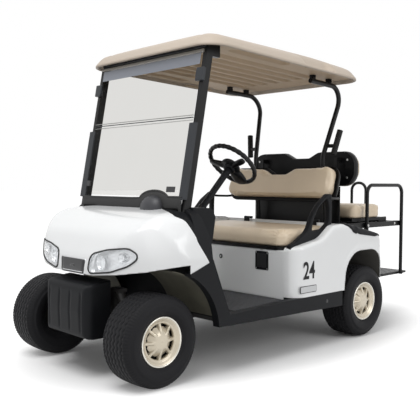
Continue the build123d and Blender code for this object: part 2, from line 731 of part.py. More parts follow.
def apron_form(inset):
    """The apron's outer form, or the same form moved inwards by a wall."""
    side = [  # x, z, corner radius
        (APRON_FRONT - inset, APRON_BOTTOM + 15 - 2 * inset, 10),
        (APRON_FRONT - inset, APRON_TOP - inset, 40),
        (front(60), APRON_TOP + 22 - inset, 0),
        (front(60) - inset, APRON_BOTTOM - 4 * inset, 0),
        (APRON_FRONT - 60, APRON_BOTTOM - 4 * inset, 0),
    ]
    half = APRON_HALF - inset
    plan = symmetric([(APRON_FRONT - inset, half, 45 - inset), (front(50), half, 0)])
    return side_prism(side, -half, half) & plan_prism(plan, 0, ROOF_LIP_Z)


apron = apron_form(0) - apron_form(PANEL_WALL)
write("bumper_apron", apron)

# --- dash: the black moulding behind the cowl, its trims and the panel with two bins ---
DASH_TOP = COWL_TOP + 12
TRIM_TOP = (front(-275), FLOOR_Z + 525)
TRIM_WAIST = (front(-298), FLOOR_Z + 394)
DASH_HALF = HALF_BODY - 26


def trim_form(inset):
    """The band that follows the cowl's rear edge down to the sills."""
    side = [  # x, z, corner radius
        (COWL_BACK - FIT, DASH_TOP - inset, 0),
        (TRIM_TOP[0] + inset + 20, DASH_TOP - inset, 30),
        (TRIM_WAIST[0] + inset, TRIM_WAIST[1], 100),
        (TRIM_FOOT[0] + inset, TRIM_FOOT[1] + FIT - 8 * inset, 0),
        (COWL_FOOT[0] - FIT, COWL_FOOT[1] + FIT - 8 * inset, 0),
        (front(-197) - FIT, FLOOR_Z + 399, 60),
    ]
    half = HALF_BODY - inset
    top = DASH_TOP - inset
    right = [  # y, z, corner radius
        (HALF_BODY - 78 - inset, top, 100),
        (HALF_BODY - 26 - inset, FLOOR_Z + 410, 60),
        (half, COWL_FOOT[1], 0),
        (half, FLOOR_Z, 0),
    ]
    left = [(-y, z, r) for y, z, r in reversed(right)]
    return side_prism(side, -half, half) & front_prism(right + left, front(-400), COWL_NOSE)


PANEL_BACK = front(-400)
TOE_GAP = 9.4  # wheel liner to the panel's toe
toe_x = front(-FRONT_ARCH_RADIUS - LINER_WALL - TOE_GAP)
panel_outline = [  # x, z, corner radius
    (front(-240), DASH_TOP, 0),
    (PANEL_BACK + 30, DASH_TOP - 4, 20),
    (PANEL_BACK, DASH_TOP - 50, 20),
    (PANEL_BACK + 20, FLOOR_Z + 390, 20),
    (toe_x, FLOOR_Z + 300, 30),
    (toe_x, FLOOR_Z + FIT, 0),
    (toe_x + PANEL_WALL, FLOOR_Z + FIT, 0),
    (toe_x + PANEL_WALL, FLOOR_Z + 290, 0),
    (front(-240), FLOOR_Z + 390, 0),
]
PANEL_HALF = HALF_BODY - 96
panel = side_prism(panel_outline, -PANEL_HALF, PANEL_HALF)
bin_x = (PANEL_BACK - 10, TRIM_WAIST[0])
bin_z = (FLOOR_Z + 440, FLOOR_Z + 520)
for bin_y in ((-430, -180), (-140, 140)):
    panel -= block(bin_x, bin_y, bin_z)
dash = trim_form(0) - trim_form(PANEL_WALL) + panel
for slot in strut_slots:
    dash -= slot

# --- steering column, from the wheel down through the dash, and the steering box ---
TILT = radians(STEERING_TILT)
wheel_centre = Vector(front(-750), STEERING_OFFSET, FLOOR_Z + 794)
down_column = Vector(cos(TILT), 0, -sin(TILT))
COLUMN_RADIUS = 24
COLUMN_TOP = 48  # below the wheel's rim plane
COLUMN_END = 640
column_top = wheel_centre + down_column * COLUMN_TOP
column_end = wheel_centre + down_column * COLUMN_END
column_bore = rod(column_top, column_end, COLUMN_RADIUS + FIT)
box_x = (front(-178), front(-98))
box_top = RAIL_BOTTOM + 50
lower_end = (front(-138), 100, box_top - 5)
LOWER_SHAFT_RADIUS = 11
dash -= column_bore
lower_bore = rod(column_end, lower_end, LOWER_SHAFT_RADIUS + FIT)
dash -= lower_bore
write("dash", dash)
write("front_wheel_liners", *both(liner - lower_bore))

column = rod(column_top, column_end, COLUMN_RADIUS)
column += rod(column_end, lower_end, LOWER_SHAFT_RADIUS)
column += block(
    box_x, (-inner_rail + FIT, inner_rail - FIT), (TIE_ROD_Z + TIE_ROD_RADIUS + RUNNING, box_top)
)
SHAFT_RADIUS = 10
SHAFT_SEAT = 60
shaft_end = wheel_centre + down_column * (COLUMN_TOP + SHAFT_SEAT)
column -= rod(column_top, shaft_end, SHAFT_RADIUS + FIT)
write("steering_column", column)

# --- steering wheel: rim, hub, shaft and three spokes ---
wheel_plane = Plane(origin=wheel_centre, x_dir=(sin(TILT), 0, cos(TILT)), z_dir=-down_column)
ring_radius = STEERING_WHEEL_RADIUS - STEERING_RIM_RADIUS
steering_wheel = wheel_plane.location * Torus(ring_radius, STEERING_RIM_RADIUS)
steering_wheel += rod(
    wheel_centre - down_column * 6, column_top - down_column * FIT, 38
)
steering_wheel += rod(wheel_centre, shaft_end - down_column * FIT, SHAFT_RADIUS)
for angle, spoke_width in ((90, 34), (-90, 34), (180, 46)):
    spoke = block((0, ring_radius), (-spoke_width / 2, spoke_width / 2), (-22, -6))
    steering_wheel += wheel_plane.location * Rot(0, 0, angle) * spoke
write("steering_wheel", steering_wheel)

# --- pedals on the toe of the floor ---
PEDALS = [  # y, width, height above the floor
    (STEERING_OFFSET - 40, 70, 120),
    (STEERING_OFFSET - 190, 95, 110),
]
pedals = []
for y, width, height in PEDALS:
    pedal = block((toe_x - 70, toe_x - 40), (y - 10, y + 10), (FLOOR_Z + FIT, FLOOR_Z + height))
    pedal += block(
        (toe_x - 84, toe_x - 70),
        (y - width / 2, y + width / 2),
        (FLOOR_Z + height - 75, FLOOR_Z + height + 5),
    )
    pedals.append(pedal)
write("pedals", *pedals)

# --- roof: a crowned shell, a liner that closes it from below, and the rear struts' line ---
ROOF_FRONT = front(-300)
ROOF_REAR = ROOF_FRONT - ROOF_LENGTH
ROOF_CORNER = 130
LINER_THICKNESS = 4
roof_half = ROOF_WIDTH / 2
deck_top = DECK_Z + DECK_THICKNESS


def roof_lip(x):
    """Height of the roof's lower edge, which falls towards the rear."""
    return ROOF_LIP_Z - ROOF_FALL * (ROOF_FRONT - x) / ROOF_LENGTH


def roof_seat(x):
    """Centre height of a rear strut tube that lies under the roof's rear rim."""
    return roof_lip(x) - REAR_TUBE_RADIUS - FIT


def roof_form(inset):
    """The roof's outer form, or the same form moved inwards by a wall."""
    drop = 0 if inset == 0 else 30  # the inner form runs out through the open bottom
    side = [  # x, z, corner radius
        (ROOF_FRONT - inset, ROOF_LIP_Z - drop, 0),
        (ROOF_FRONT - 4 - inset, ROOF_LIP_Z + 26, 20),
        (ROOF_FRONT - 50, ROOF_LIP_Z + 84 - inset, 60),
        (ROOF_FRONT - 330, ROOF_LIP_Z + ROOF_CROWN - inset, 400),
        (ROOF_REAR + 420, ROOF_LIP_Z + ROOF_CROWN - 22 - inset, 400),
        (ROOF_REAR + 60, ROOF_LIP_Z + 32 - inset, 90),
        (ROOF_REAR + inset, roof_lip(ROOF_REAR) + 16 - inset, 12),
        (ROOF_REAR + inset, roof_lip(ROOF_REAR) - drop, 0),
    ]
    half = roof_half - inset
    plan = symmetric(
        [  # x, y, corner radius
            (ROOF_FRONT - inset, half, ROOF_CORNER),
            (ROOF_REAR + inset, half, ROOF_CORNER),
        ]
    )
    right = [  # y, z, corner radius
        (150, ROOF_LIP_Z + ROOF_CROWN + 3 - inset, 200),
        (half - 60, ROOF_LIP_Z + 72 - inset, 50),
        (half, ROOF_LIP_Z + 18 - inset, 20),
        (half, ROOF_LIP_Z - 2 * ROOF_FALL, 0),
    ]
    left = [(-y, z, r) for y, z, r in reversed(right)]
    shape = side_prism(side, -half, half) & plan_prism(plan, FLOOR_Z, ROOF_LIP_Z + 2 * ROOF_CROWN)
    return shape & front_prism(right + left, ROOF_REAR, ROOF_FRONT)


write("roof", roof_form(0) - roof_form(PANEL_WALL))
liner_band = [(x, roof_lip(x) + ROOF_RECESS, 0) for x in (ROOF_FRONT, ROOF_REAR)]
liner_band += [(x, z + LINER_THICKNESS, 0) for x, z, _ in reversed(liner_band)]
write(
    "roof_liner", roof_form(PANEL_WALL + FIT) & side_prism(liner_band, -roof_half, roof_half)
)
strut_bend = ROOF_REAR - 46
strut_end = ROOF_REAR + 319
rear_strut = tube(
    [
        (rear(52), 301, deck_top + 1.6),
        (rear(93), 301, FLOOR_Z + 860),
        (strut_bend, 366, roof_seat(strut_bend) - 2),
        (strut_end, 369, roof_seat(strut_end)),
    ],
    (200, 108),
    REAR_TUBE_RADIUS,
)
# saddles between each tube and the liner take the roof's bolts
for x in (ROOF_REAR + 124, ROOF_REAR + 294):
    rear_strut += block(
        (x - 15, x + 15), (354, 382), (roof_seat(x) + 4, roof_lip(x - 15) + ROOF_RECESS - FIT)
    )
write("rear_roof_struts", *both(rear_strut))

# --- front struts with their roof brackets ---
head_x = front(-227) - STRUT_HEAD * sin(LEAN)
head_z = FLOOR_Z + 586 + STRUT_HEAD * cos(LEAN)
bracket = block(
    (head_x - 70, head_x + 10),
    (STRUT_OFFSET - STRUT_WIDTH / 2, STRUT_OFFSET + STRUT_WIDTH / 2),
    (head_z - 30, roof_lip(head_x - 70) + ROOF_RECESS - FIT),
)
write("front_roof_struts", *both(strut(0) + bracket))

# --- windshield: two acrylic panes that meet at a fold strip, in channels on the struts ---
PANE_FOOT = 22
FOLD = 438
PANE_HEAD = 786
FOLD_GAP = 5
pane_x = (STRUT_DEPTH / 2 + FIT, STRUT_DEPTH / 2 + FIT + GLASS_THICKNESS)
pane_y = (-GLASS_WIDTH / 2, GLASS_WIDTH / 2)
write("windshield_lower", leaning * block(pane_x, pane_y, (PANE_FOOT, FOLD - FOLD_GAP / 2)))
write("windshield_upper", leaning * block(pane_x, pane_y, (FOLD + FOLD_GAP / 2, PANE_HEAD)))
channel_x = (pane_x[0], pane_x[1] + 8)
channel = block(channel_x, (GLASS_WIDTH / 2 - 12, STRUT_OFFSET + 22), (PANE_FOOT - 14, FOLD - 30))
channel -= block(
    (pane_x[0] - FIT, pane_x[1] + FIT), (0, GLASS_WIDTH / 2 + FIT), (PANE_FOOT - FIT, FOLD)
)
clip = block(channel_x, (GLASS_WIDTH / 2 - 12, STRUT_OFFSET + 20), (PANE_HEAD - 150, PANE_HEAD - 95))
clip -= block((pane_x[0] - FIT, pane_x[1] + FIT), (0, GLASS_WIDTH / 2 + FIT), (FOLD, PANE_HEAD))
fold_strip = block(
    (pane_x[0], pane_x[1] + 3), pane_y, (FOLD - FOLD_GAP / 2 + FIT, FOLD + FOLD_GAP / 2 - FIT)
)
channels = [leaning * solid for piece in (channel, clip) for solid in both(piece)]
write("windshield_channels", *channels, leaning * fold_strip)

# --- hand grips beside the rear struts ---
GRIP_RADIUS = 17.5
grip_low = Vector(rear(72), 372, FLOOR_Z + 875)
grip_high = Vector(rear(42), 404, FLOOR_Z + 1040)
grip = rod(grip_low, grip_high, GRIP_RADIUS)
grip += rod((rear(72), 314 + REAR_TUBE_RADIUS, FLOOR_Z + 935), grip_low + (grip_high - grip_low) * 0.36, 10)
write("strut_grips", *both(grip))

# --- front seat lid: a pan hinged behind the cushion, which covers the batteries ---
PAN_THICKNESS = 18
HINGE_Y = 300
HINGE_HALF = 25
HINGE_RADIUS = 8
PIN_RADIUS = 4
SIDE_GAP = 5  # lid to the sides of its recess
hinge_x = SEAT_REAR - 10
hinge_z = SHELF_Z + HINGE_RADIUS + 4
pan_front = BODY_FRONT + 4
pan_rear = SEAT_REAR + SIDE_GAP
pan_z = (SEAT_BOX_Z + FIT, SEAT_BOX_Z + FIT + PAN_THICKNESS)
seat_half = SEAT_WIDTH / 2
seat_plan = symmetric(
    [(pan_front, seat_half, 60), (pan_rear, seat_half, 20)]  # x, y, corner radius
)
pan = plan_prism(seat_plan, *pan_z)
strap_top = hinge_z + 2
hinges = []
for y in (-HINGE_Y, HINGE_Y):
    knuckle_y = (y - HINGE_HALF, y + HINGE_HALF)
    pan += block((pan_rear, pan_rear + 6), knuckle_y, (SEAT_BOX_Z + FIT, strap_top))
    pan += block((hinge_x, pan_rear + 6), knuckle_y, (strap_top - 6, strap_top))
    pan += rod((hinge_x, knuckle_y[0], hinge_z), (hinge_x, knuckle_y[1], hinge_z), HINGE_RADIUS)
    bore_y = (knuckle_y[0] - 5, knuckle_y[1] + 5)
    pan -= rod((hinge_x, bore_y[0], hinge_z), (hinge_x, bore_y[1], hinge_z), PIN_RADIUS + FIT)
    hinge = rod(
        (hinge_x, knuckle_y[0] - 10, hinge_z), (hinge_x, knuckle_y[1] + 10, hinge_z), PIN_RADIUS
    )
    for ear_y in ((knuckle_y[0] - 10, knuckle_y[0] - FIT), (knuckle_y[1] + FIT, knuckle_y[1] + 10)):
        hinge += block(
            (hinge_x - 8, hinge_x + 8), ear_y, (SHELF_Z + 3, hinge_z + HINGE_RADIUS)
        )
    hinges.append(hinge)
write("seat_pan", pan)
write("seat_hinges", *hinges)
cushion_plan = symmetric(
    [(pan_front, seat_half, 60), (pan_rear + 6 + FIT, seat_half, 20)]  # x, y, corner radius
)
cushion_top = pan_z[1] + FIT + SEAT_THICKNESS
cushion = plan_prism(cushion_plan, pan_z[1] + FIT, cushion_top)
cushion = fillet(cushion.faces().sort_by(Axis.Z)[-1].edges(), 18)
write("seat_cushion", cushion)


# --- backrests: a padded face on a moulded shell, with a dip between the shoulders ---
def back_outline(half, height, corner, plane, low, high):
    """A backrest's outline, cut from one depth to another in its own leaning plane."""
    right = [  # y, height, corner radius
        (70, height - SEAT_BACK_DIP, 45),
        (150, height, 60),
        (half, height, corner),
        (half, 0, corner),
    ]
    left = [(-y, z, r) for y, z, r in reversed(right)]
    return plane * front_prism(right + left, low, high)


def leaning_back(x, z, lean):
    """A backrest's plane: local x is towards the sitter's front, local z is up the back."""
    angle = radians(lean)
    return Plane(
        origin=(x, 0, z), x_dir=(cos(angle), 0, sin(angle)), z_dir=(-sin(angle), 0, cos(angle))
    ).location


front_back = leaning_back(rear(208), FLOOR_Z + 575, BACK_LEAN)
shell_face = -BACK_THICKNESS / 2
front_half = BACK_WIDTH / 2
write(
    "seat_back_shell",
    back_outline(front_half, BACK_HEIGHT, 66, front_back, shell_face, shell_face + SHELL_THICKNESS),
)
write(
    "seat_back",
    back_outline(
        front_half,
        BACK_HEIGHT,
        66,
        front_back,
        shell_face + SHELL_THICKNESS + FIT,
        BACK_THICKNESS / 2,
    ),
)

# --- side arms: swept loops on the body's shoulders that hold the front backrest ---
ARM_Y = (SEAT_RECESS_HALF + 8, SEAT_RECESS_HALF + 44)
STRAP_THICKNESS = 8  # straps behind the backrest's shell
arm = side_prism(
    [  # x, z, corner radius
        (BODY_FRONT - 12, FLOOR_Z + 300, 0),
        (BODY_FRONT - 12, FLOOR_Z + 328, 0),
        (rear(540), FLOOR_Z + 395, 120),
        (rear(420), FLOOR_Z + 540, 150),
        (rear(300), FLOOR_Z + 618, 12),
        (rear(268), FLOOR_Z + 610, 12),
        (rear(285), FLOOR_Z + 400, 0),
    ],
    *ARM_Y,
)
arm -= side_prism(
    [  # x, z, corner radius
        (rear(455), FLOOR_Z + 448, 10),
        (rear(325), FLOOR_Z + 580, 10),
        (rear(312), FLOOR_Z + 462, 10),
    ],
    ARM_Y[0] - 1,
    ARM_Y[1] + 1,
)
arm -= Pos(0, 0, FIT) * body_solid(0)
bracket_z = (FLOOR_Z + 575, FLOOR_Z + 612)
arm += block((rear(152), rear(292)), ARM_Y, bracket_z)
strap_x = (shell_face - FIT - STRAP_THICKNESS, shell_face - FIT)
arm += front_back * block(strap_x, (front_half - 80, ARM_Y[1]), (18, 50))
write("seat_side_arms", *both(arm))

# --- rear seat frame: two long bars on legs, uprights for the backrest and a front panel ---
BAR = 36
bar_outer = GRAB_OFFSET - GRAB_RADIUS - FIT
bar_inner = bar_outer - BAR
bar_top = FLOOR_Z + 412
bar_z = (bar_top - BAR, bar_top)
PIVOT_X = rear(-572)
PIVOT_RADIUS = 6
pivot_z = bar_top - BAR / 2
FRAME_END = rear(-712)
seat_frame = block((FRAME_END, rear(10)), (bar_inner, bar_outer), bar_z)
seat_frame += block((FRAME_END, rear(10)), (-bar_outer, -bar_inner), bar_z)
for x in (rear(-6), rear(-300), rear(-650)):
    seat_frame += block((x - 16, x + 16), (-bar_inner, bar_inner), bar_z)
for side in (-1, 1):
    leg_y = sorted((side * bar_inner, side * bar_outer))
    for x in (rear(-14), rear(-150)):
        seat_frame += block((x - 18, x + 18), leg_y, (deck_top + FIT, bar_z[1]))
    upright_y = sorted((side * 318, side * 344))
    seat_frame += block((rear(-22), rear(-10)), upright_y, (bar_z[0], FLOOR_Z + 860))
    seat_frame += block((rear(-57 + FIT), rear(-10)), upright_y, (FLOOR_Z + 700, FLOOR_Z + 730))
    seat_frame += block((rear(-57 + FIT), rear(-10)), upright_y, (FLOOR_Z + 830, FLOOR_Z + 860))
    pin_y = sorted((side * (bar_inner - 2), side * (bar_inner + 20)))
    seat_frame -= rod(
        (PIVOT_X, pin_y[0], pivot_z), (PIVOT_X, pin_y[1], pivot_z), PIVOT_RADIUS + FIT
    )
seat_frame += block((rear(0), rear(4)), (-bar_inner, bar_inner), (bar_z[0], FLOOR_Z + 664))
write("rear_seat_frame", seat_frame)

# --- rear backrest ---
rear_half = 450
rear_back = leaning_back(rear(-57), FLOOR_Z + 670, 0)
REAR_BACK_THICKNESS = 94
REAR_BACK_HEIGHT = 230
write(
    "rear_back_shell",
    back_outline(rear_half, REAR_BACK_HEIGHT, 95, rear_back, -SHELL_THICKNESS, 0),
)
write(
    "rear_back",
    back_outline(
        rear_half, REAR_BACK_HEIGHT, 95, rear_back, -REAR_BACK_THICKNESS, -SHELL_THICKNESS - FIT
    ),
)

# --- rear seat: a cushion on a base that swings up about its rear pivot ---
BASE_THICKNESS = 20
base_top = FLOOR_Z + 444
base_low = base_top - BASE_THICKNESS
rear_seat_half = REAR_SEAT_WIDTH / 2
REAR_SEAT_FRONT = rear(-122)
base = block(
    (REAR_SEAT_FRONT - REAR_SEAT_DEPTH - 14, REAR_SEAT_FRONT),
    (-rear_seat_half + 15, rear_seat_half - 15),
    (base_low, base_top),
)
for side in (-1, 1):
    lug_y = sorted((side * (bar_inner - FIT - 14), side * (bar_inner - FIT)))
    base += block((PIVOT_X - 12, PIVOT_X + 90), lug_y, (pivot_z - 10, base_top))
    base += rod(
        (PIVOT_X, side * (bar_inner - 10), pivot_z),
        (PIVOT_X, side * (bar_inner + 18), pivot_z),
        PIVOT_RADIUS,
    )
write("rear_seat_base", base)
rear_cushion = plan_prism(
    symmetric(
        [  # x, y, corner radius
            (REAR_SEAT_FRONT, rear_seat_half, 40),
            (REAR_SEAT_FRONT - REAR_SEAT_DEPTH, rear_seat_half, 60),
        ]
    ),
    base_top + FIT,
    base_top + FIT + REAR_SEAT_THICKNESS,
)
rear_cushion = fillet(rear_cushion.faces().sort_by(Axis.Z)[-1].edges(), 18)
write("rear_cushion", rear_cushion)

# --- foot plate, its braces, grab rails and the rear handle ---
PLATE_THICKNESS = 15
PLATE_END = rear(-REAR_OVERHANG)
plate_half = GRAB_OFFSET - GRAB_RADIUS - FIT
plate_z = (FLOOR_Z + 15, FLOOR_Z + 15 + PLATE_THICKNESS)
PLATE_FRONT = rear(-470)
foot_plate = block((PLATE_END, PLATE_FRONT), (-plate_half, plate_half), plate_z)
# a raised tread stops short of the plate's edges and of the handle's feet
TREAD_HEIGHT = 2
TREAD_MARGIN = 6
HANDLE_RADIUS = 11
foot_plate += block(
    (PLATE_END + 2 * HANDLE_RADIUS + TREAD_MARGIN, PLATE_FRONT - TREAD_MARGIN),
    (-plate_half + TREAD_MARGIN, plate_half - TREAD_MARGIN),
    (plate_z[1], plate_z[1] + TREAD_HEIGHT),
)
tail_rail_low = RAIL_BOTTOM + KICK_UP + RAIL_HEIGHT / 2
for side in (-1, 1):
    brace_y = sorted((side * inner_rail, side * rail_outer))
    foot_plate += block((PLATE_END + 30, rear(-196)), brace_y, (plate_z[0] - 25, plate_z[0]))
    foot_plate += block(
        (rear(-240), rear(-196)), brace_y, (plate_z[0] - 25, tail_rail_low - FIT)
    )
write("foot_plate", foot_plate)
rail_front = rear(-252)
rail_rear = rear(-712)
rail_line = [
    (rail_front, GRAB_OFFSET, deck_top + FIT),
    (rail_front, GRAB_OFFSET, FLOOR_Z + 674),
    (rail_rear, GRAB_OFFSET, FLOOR_Z + 674),
    (rail_rear, GRAB_OFFSET, plate_z[0]),
]
write("rear_grab_rails", *both(tube(rail_line, 60, GRAB_RADIUS)))
HANDLE_HALF = 65
handle_x = PLATE_END + HANDLE_RADIUS
handle_line = [
    (handle_x, -HANDLE_HALF, plate_z[1] + FIT),
    (handle_x, -HANDLE_HALF, FLOOR_Z + 690),
    (handle_x, HANDLE_HALF, FLOOR_Z + 690),
    (handle_x, HANDLE_HALF, plate_z[1] + FIT),
]
write("rear_grab_handle", tube(handle_line, 60, HANDLE_RADIUS))

# --- mud flaps behind the rear wheels ---
flap_x = BODY_REAR - FIT
flap = block(
    (flap_x - 4, flap_x), (WHEELHOUSE_Y + 10, HALF_BODY - 70), (FLOOR_Z - 50, BODY_TAIL_Z + 30)
)
write("mud_flaps", *both(flap))
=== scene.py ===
import math

import bmesh
import bpy
import numpy as np
from mathutils import Matrix, Vector
from mathutils.bvhtree import BVHTree


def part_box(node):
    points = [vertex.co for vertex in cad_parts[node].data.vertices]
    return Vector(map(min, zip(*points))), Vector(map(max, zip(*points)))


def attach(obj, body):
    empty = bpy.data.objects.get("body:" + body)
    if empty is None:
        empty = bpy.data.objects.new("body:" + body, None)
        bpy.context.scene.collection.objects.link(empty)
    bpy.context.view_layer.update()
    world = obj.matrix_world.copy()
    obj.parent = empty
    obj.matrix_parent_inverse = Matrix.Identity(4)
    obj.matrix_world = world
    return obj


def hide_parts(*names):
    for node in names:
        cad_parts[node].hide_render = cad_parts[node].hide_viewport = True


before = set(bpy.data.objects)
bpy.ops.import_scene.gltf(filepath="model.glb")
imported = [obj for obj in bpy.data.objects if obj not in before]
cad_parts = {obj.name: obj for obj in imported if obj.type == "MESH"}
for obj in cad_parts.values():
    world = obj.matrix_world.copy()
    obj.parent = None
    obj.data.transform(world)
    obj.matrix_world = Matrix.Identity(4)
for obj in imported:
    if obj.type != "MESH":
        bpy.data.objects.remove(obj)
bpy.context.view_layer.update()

# ------------------------------
# Studio. A white sheet under and behind the cart, with a painted shadow under the cart, a bright even sky
# and two large soft lamps. The camera stands ahead of the cart, to its left, at chest height.
scene = bpy.context.scene
scene.view_settings.view_transform = "Standard"
CAMERA_PLACE = (3.1121, 2.9268, 0.9971)
CAMERA_HEADING = -2.3361
CAMERA_PITCH = -0.0423
CAMERA_ROLL = -0.0052


def placed(name, data):
    """A new object in the scene."""
    thing = bpy.data.objects.new(name, data)
    scene.collection.objects.link(thing)
    return thing


lens = bpy.data.cameras.new("camera")
lens.sensor_width = 36
lens.lens = 55.75
lens.clip_start = 0.1
camera = placed("camera", lens)
camera.location = CAMERA_PLACE
camera.rotation_euler = (math.pi / 2 + CAMERA_PITCH, CAMERA_ROLL, CAMERA_HEADING - math.pi / 2)
scene.camera = camera


def fill(tree, shader, sockets):
    """Sets a node's sockets, each to a value or to another node's output."""
    for name, value in sockets.items():
        if isinstance(value, bpy.types.NodeSocket):
            tree.links.new(value, shader.inputs[name])
        else:
            shader.inputs[name].default_value = value


def shader_node(tree, kind, sockets, **settings):
    """A new shader node with its settings and sockets filled in."""
    made = tree.nodes.new("ShaderNode" + kind)
    for name, value in settings.items():
        setattr(made, name, value)
    fill(tree, made, sockets)
    return made


def seen_straight(tree):
    """1 for rays from the camera, through clear panes or off gloss, 0 for rays that light."""
    rays = shader_node(tree, "LightPath", {}).outputs
    pair = {0: rays["Is Camera Ray"], 1: rays["Is Transmission Ray"]}
    three = {0: shader_node(tree, "Math", pair, operation="ADD").outputs[0], 1: rays["Is Glossy Ray"]}
    return shader_node(tree, "Math", three, operation="ADD", use_clamp=True).outputs[0]


SKY_LIGHT = 0.63
world = bpy.data.worlds.new("white room")
world.use_nodes = True
scene.world = world
sky = world.node_tree
strength = shader_node(sky, "MapRange", {"Value": seen_straight(sky), "To Min": SKY_LIGHT, "To Max": 1.0})
fill(sky, sky.nodes["Background"], {"Strength": strength.outputs["Result"], "Color": (1, 1, 1, 1)})

LAMP_SIZE = 3.0
lamps = (  # name, place, target, watts
    ("key_lamp", (2.9, 0.8, 5.0), (0.5, 0, 0.7), 145),
    ("side_lamp", (-1.2, 5.6, 2.8), (-0.3, 0, 0.5), 80),
)
for name, place, target, watts in lamps:
    source = bpy.data.lights.new(name, "AREA")
    source.shape = "SQUARE"
    source.size = LAMP_SIZE
    source.energy = watts
    light = placed(name, source)
    light.location = place
    light.rotation_euler = (Vector(target) - Vector(place)).to_track_quat("-Z", "Y").to_euler()

FLOOR_REACH = 60
floor_mesh = bpy.data.meshes.new("floor")
floor_corners = [(FLOOR_REACH * x, FLOOR_REACH * y, 0) for x, y in ((-1, -1), (1, -1), (1, 1), (-1, 1))]
floor_mesh.from_pydata(floor_corners, [], [(0, 1, 2, 3)])
placed("floor", floor_mesh)
sheet = bpy.data.materials.new("white_sheet")
sheet.use_nodes = True
weave = sheet.node_tree
straight = seen_straight(weave)
whole = shader_node(weave, "TexCoord", {}).outputs["Object"]
# The sheet's glow to the camera fades out towards the cart, to none in an oval round it: a painted shadow
# under the cart.
painted_shadow_oval = shader_node(weave, "Mapping", {"Vector": whole, "Scale": (1 / 1.55, 1 / 0.85, 0)})
reach = shader_node(weave, "VectorMath", {0: painted_shadow_oval.outputs["Vector"]}, operation="LENGTH")
fade = {"Value": reach.outputs["Value"], "From Min": 0.75, "From Max": 1.25, "To Min": 0.0, "To Max": 0.5}
white = shader_node(weave, "MapRange", fade, interpolation_type="SMOOTHSTEP")
white_glow_with_painted_shadow = shader_node(weave, "Math", {0: straight, 1: white.outputs["Result"]}, operation="MULTIPLY")
tone = shader_node(weave, "MapRange", {"Value": straight, "To Min": 0.45, "To Max": 0.86})
fill(weave, weave.nodes["Principled BSDF"], {
    "Roughness": 0.9, "Specular IOR Level": 0.1, "Base Color": tone.outputs["Result"],
    "Emission Strength": white_glow_with_painted_shadow.outputs[0], "Emission Color": (1, 1, 1, 1)})
floor_mesh.materials.append(sheet)

# ------------------------------
# Tyres. Black rubber with a low crown: straight ribs between wavy grooves round the tread,
# sipes across the outer ribs, and a smooth sidewall with two raised rings. Moulded whole.
WHEELS = ("front_left", "front_right", "rear_left", "rear_right")
TREAD_STEPS = 360
WAVES = 45  # zigzags round the tread
WAVE = 0.0046
GROOVES = (0.066, 0.040, 0.0135, -0.0135)  # offsets from the middle
GROOVE_DEPTH = 0.007
GROOVE_HALF = 0.0028
SIPES = 90
SIPE_DEPTH = 0.0035
CROWN_DROP = 0.0055
TYRE_GAP = 0.0003


def finish(name, colour, roughness, mottle=0.04, grain=400, height=0.0, depth=0.001, **looks):
    """A material with slightly uneven colour, uneven gloss and a fine moulded grain."""
    surface = bpy.data.materials.new(name)
    surface.use_nodes = True
    tree = surface.node_tree
    place = shader_node(tree, "TexCoord", {}).outputs["Object"]
    cloud = shader_node(tree, "TexNoise", {"Vector": place, "Scale": 6, "Detail": 5}).outputs["Fac"]
    tint = shader_node(tree, "ValToRGB", {"Fac": cloud})
    for end, position, share in zip(tint.color_ramp.elements, (0.3, 0.7), (1 - mottle, 1 + mottle)):
        end.position = position
        end.color = [min(1, c * share) for c in colour] + [1]
    spread = {"Value": cloud, "To Min": roughness * 0.88, "To Max": min(1, roughness * 1.12)}
    sockets = {key.replace("_", " "): value for key, value in looks.items()}
    sockets["Base Color"] = tint.outputs["Color"]
    sockets["Roughness"] = shader_node(tree, "MapRange", spread).outputs["Result"]
    if height:
        fine = shader_node(tree, "TexNoise", {"Vector": place, "Scale": grain, "Detail": 3}).outputs["Fac"]
        bump = shader_node(tree, "Bump", {"Height": fine, "Strength": height, "Distance": depth})
        sockets["Normal"] = bump.outputs["Normal"]
    fill(tree, tree.nodes["Principled BSDF"], sockets)
    return surface


def tie(thing, node, stands_in, body):
    """Has an object ride on a body, and hides a CAD node that it stands for if asked."""
    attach(thing, body)
    if stands_in:
        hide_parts(node)
    return thing


def piece(name, mesh, surface, node, stands_in=False, body="chassis"):
    """A named piece of the object."""
    mesh.name = name
    if surface:
        mesh.materials.clear()
        mesh.materials.append(surface)
    return tie(placed(name, mesh), node, stands_in, body)


def shade_smooth(mesh, smooth=True):
    """Shades a mesh smooth or flat, all in its first material."""
    mesh.polygons.foreach_set("use_smooth", [smooth] * len(mesh.polygons))
    mesh.polygons.foreach_set("material_index", [0] * len(mesh.polygons))
    mesh.update()
    return mesh


def grid_mesh(points, close_rows=False, close_columns=False, smooth=True):
    """A mesh over rows of points, closed round either way if asked."""
    rows, columns = len(points), len(points[0])
    faces = []
    for i in range(rows if close_rows else rows - 1):
        for j in range(columns if close_columns else columns - 1):
            k, m = (i + 1) % rows, (j + 1) % columns
            faces.append((i * columns + j, i * columns + m, k * columns + m, k * columns + j))
    mesh = bpy.data.meshes.new("grid")
    mesh.from_pydata([tuple(p) for row in points for p in row], [], faces)
    return shade_smooth(mesh, smooth)


def full_turn(count):
    """Angles spaced evenly round a circle."""
    return np.linspace(0, 2 * math.pi, count, endpoint=False)


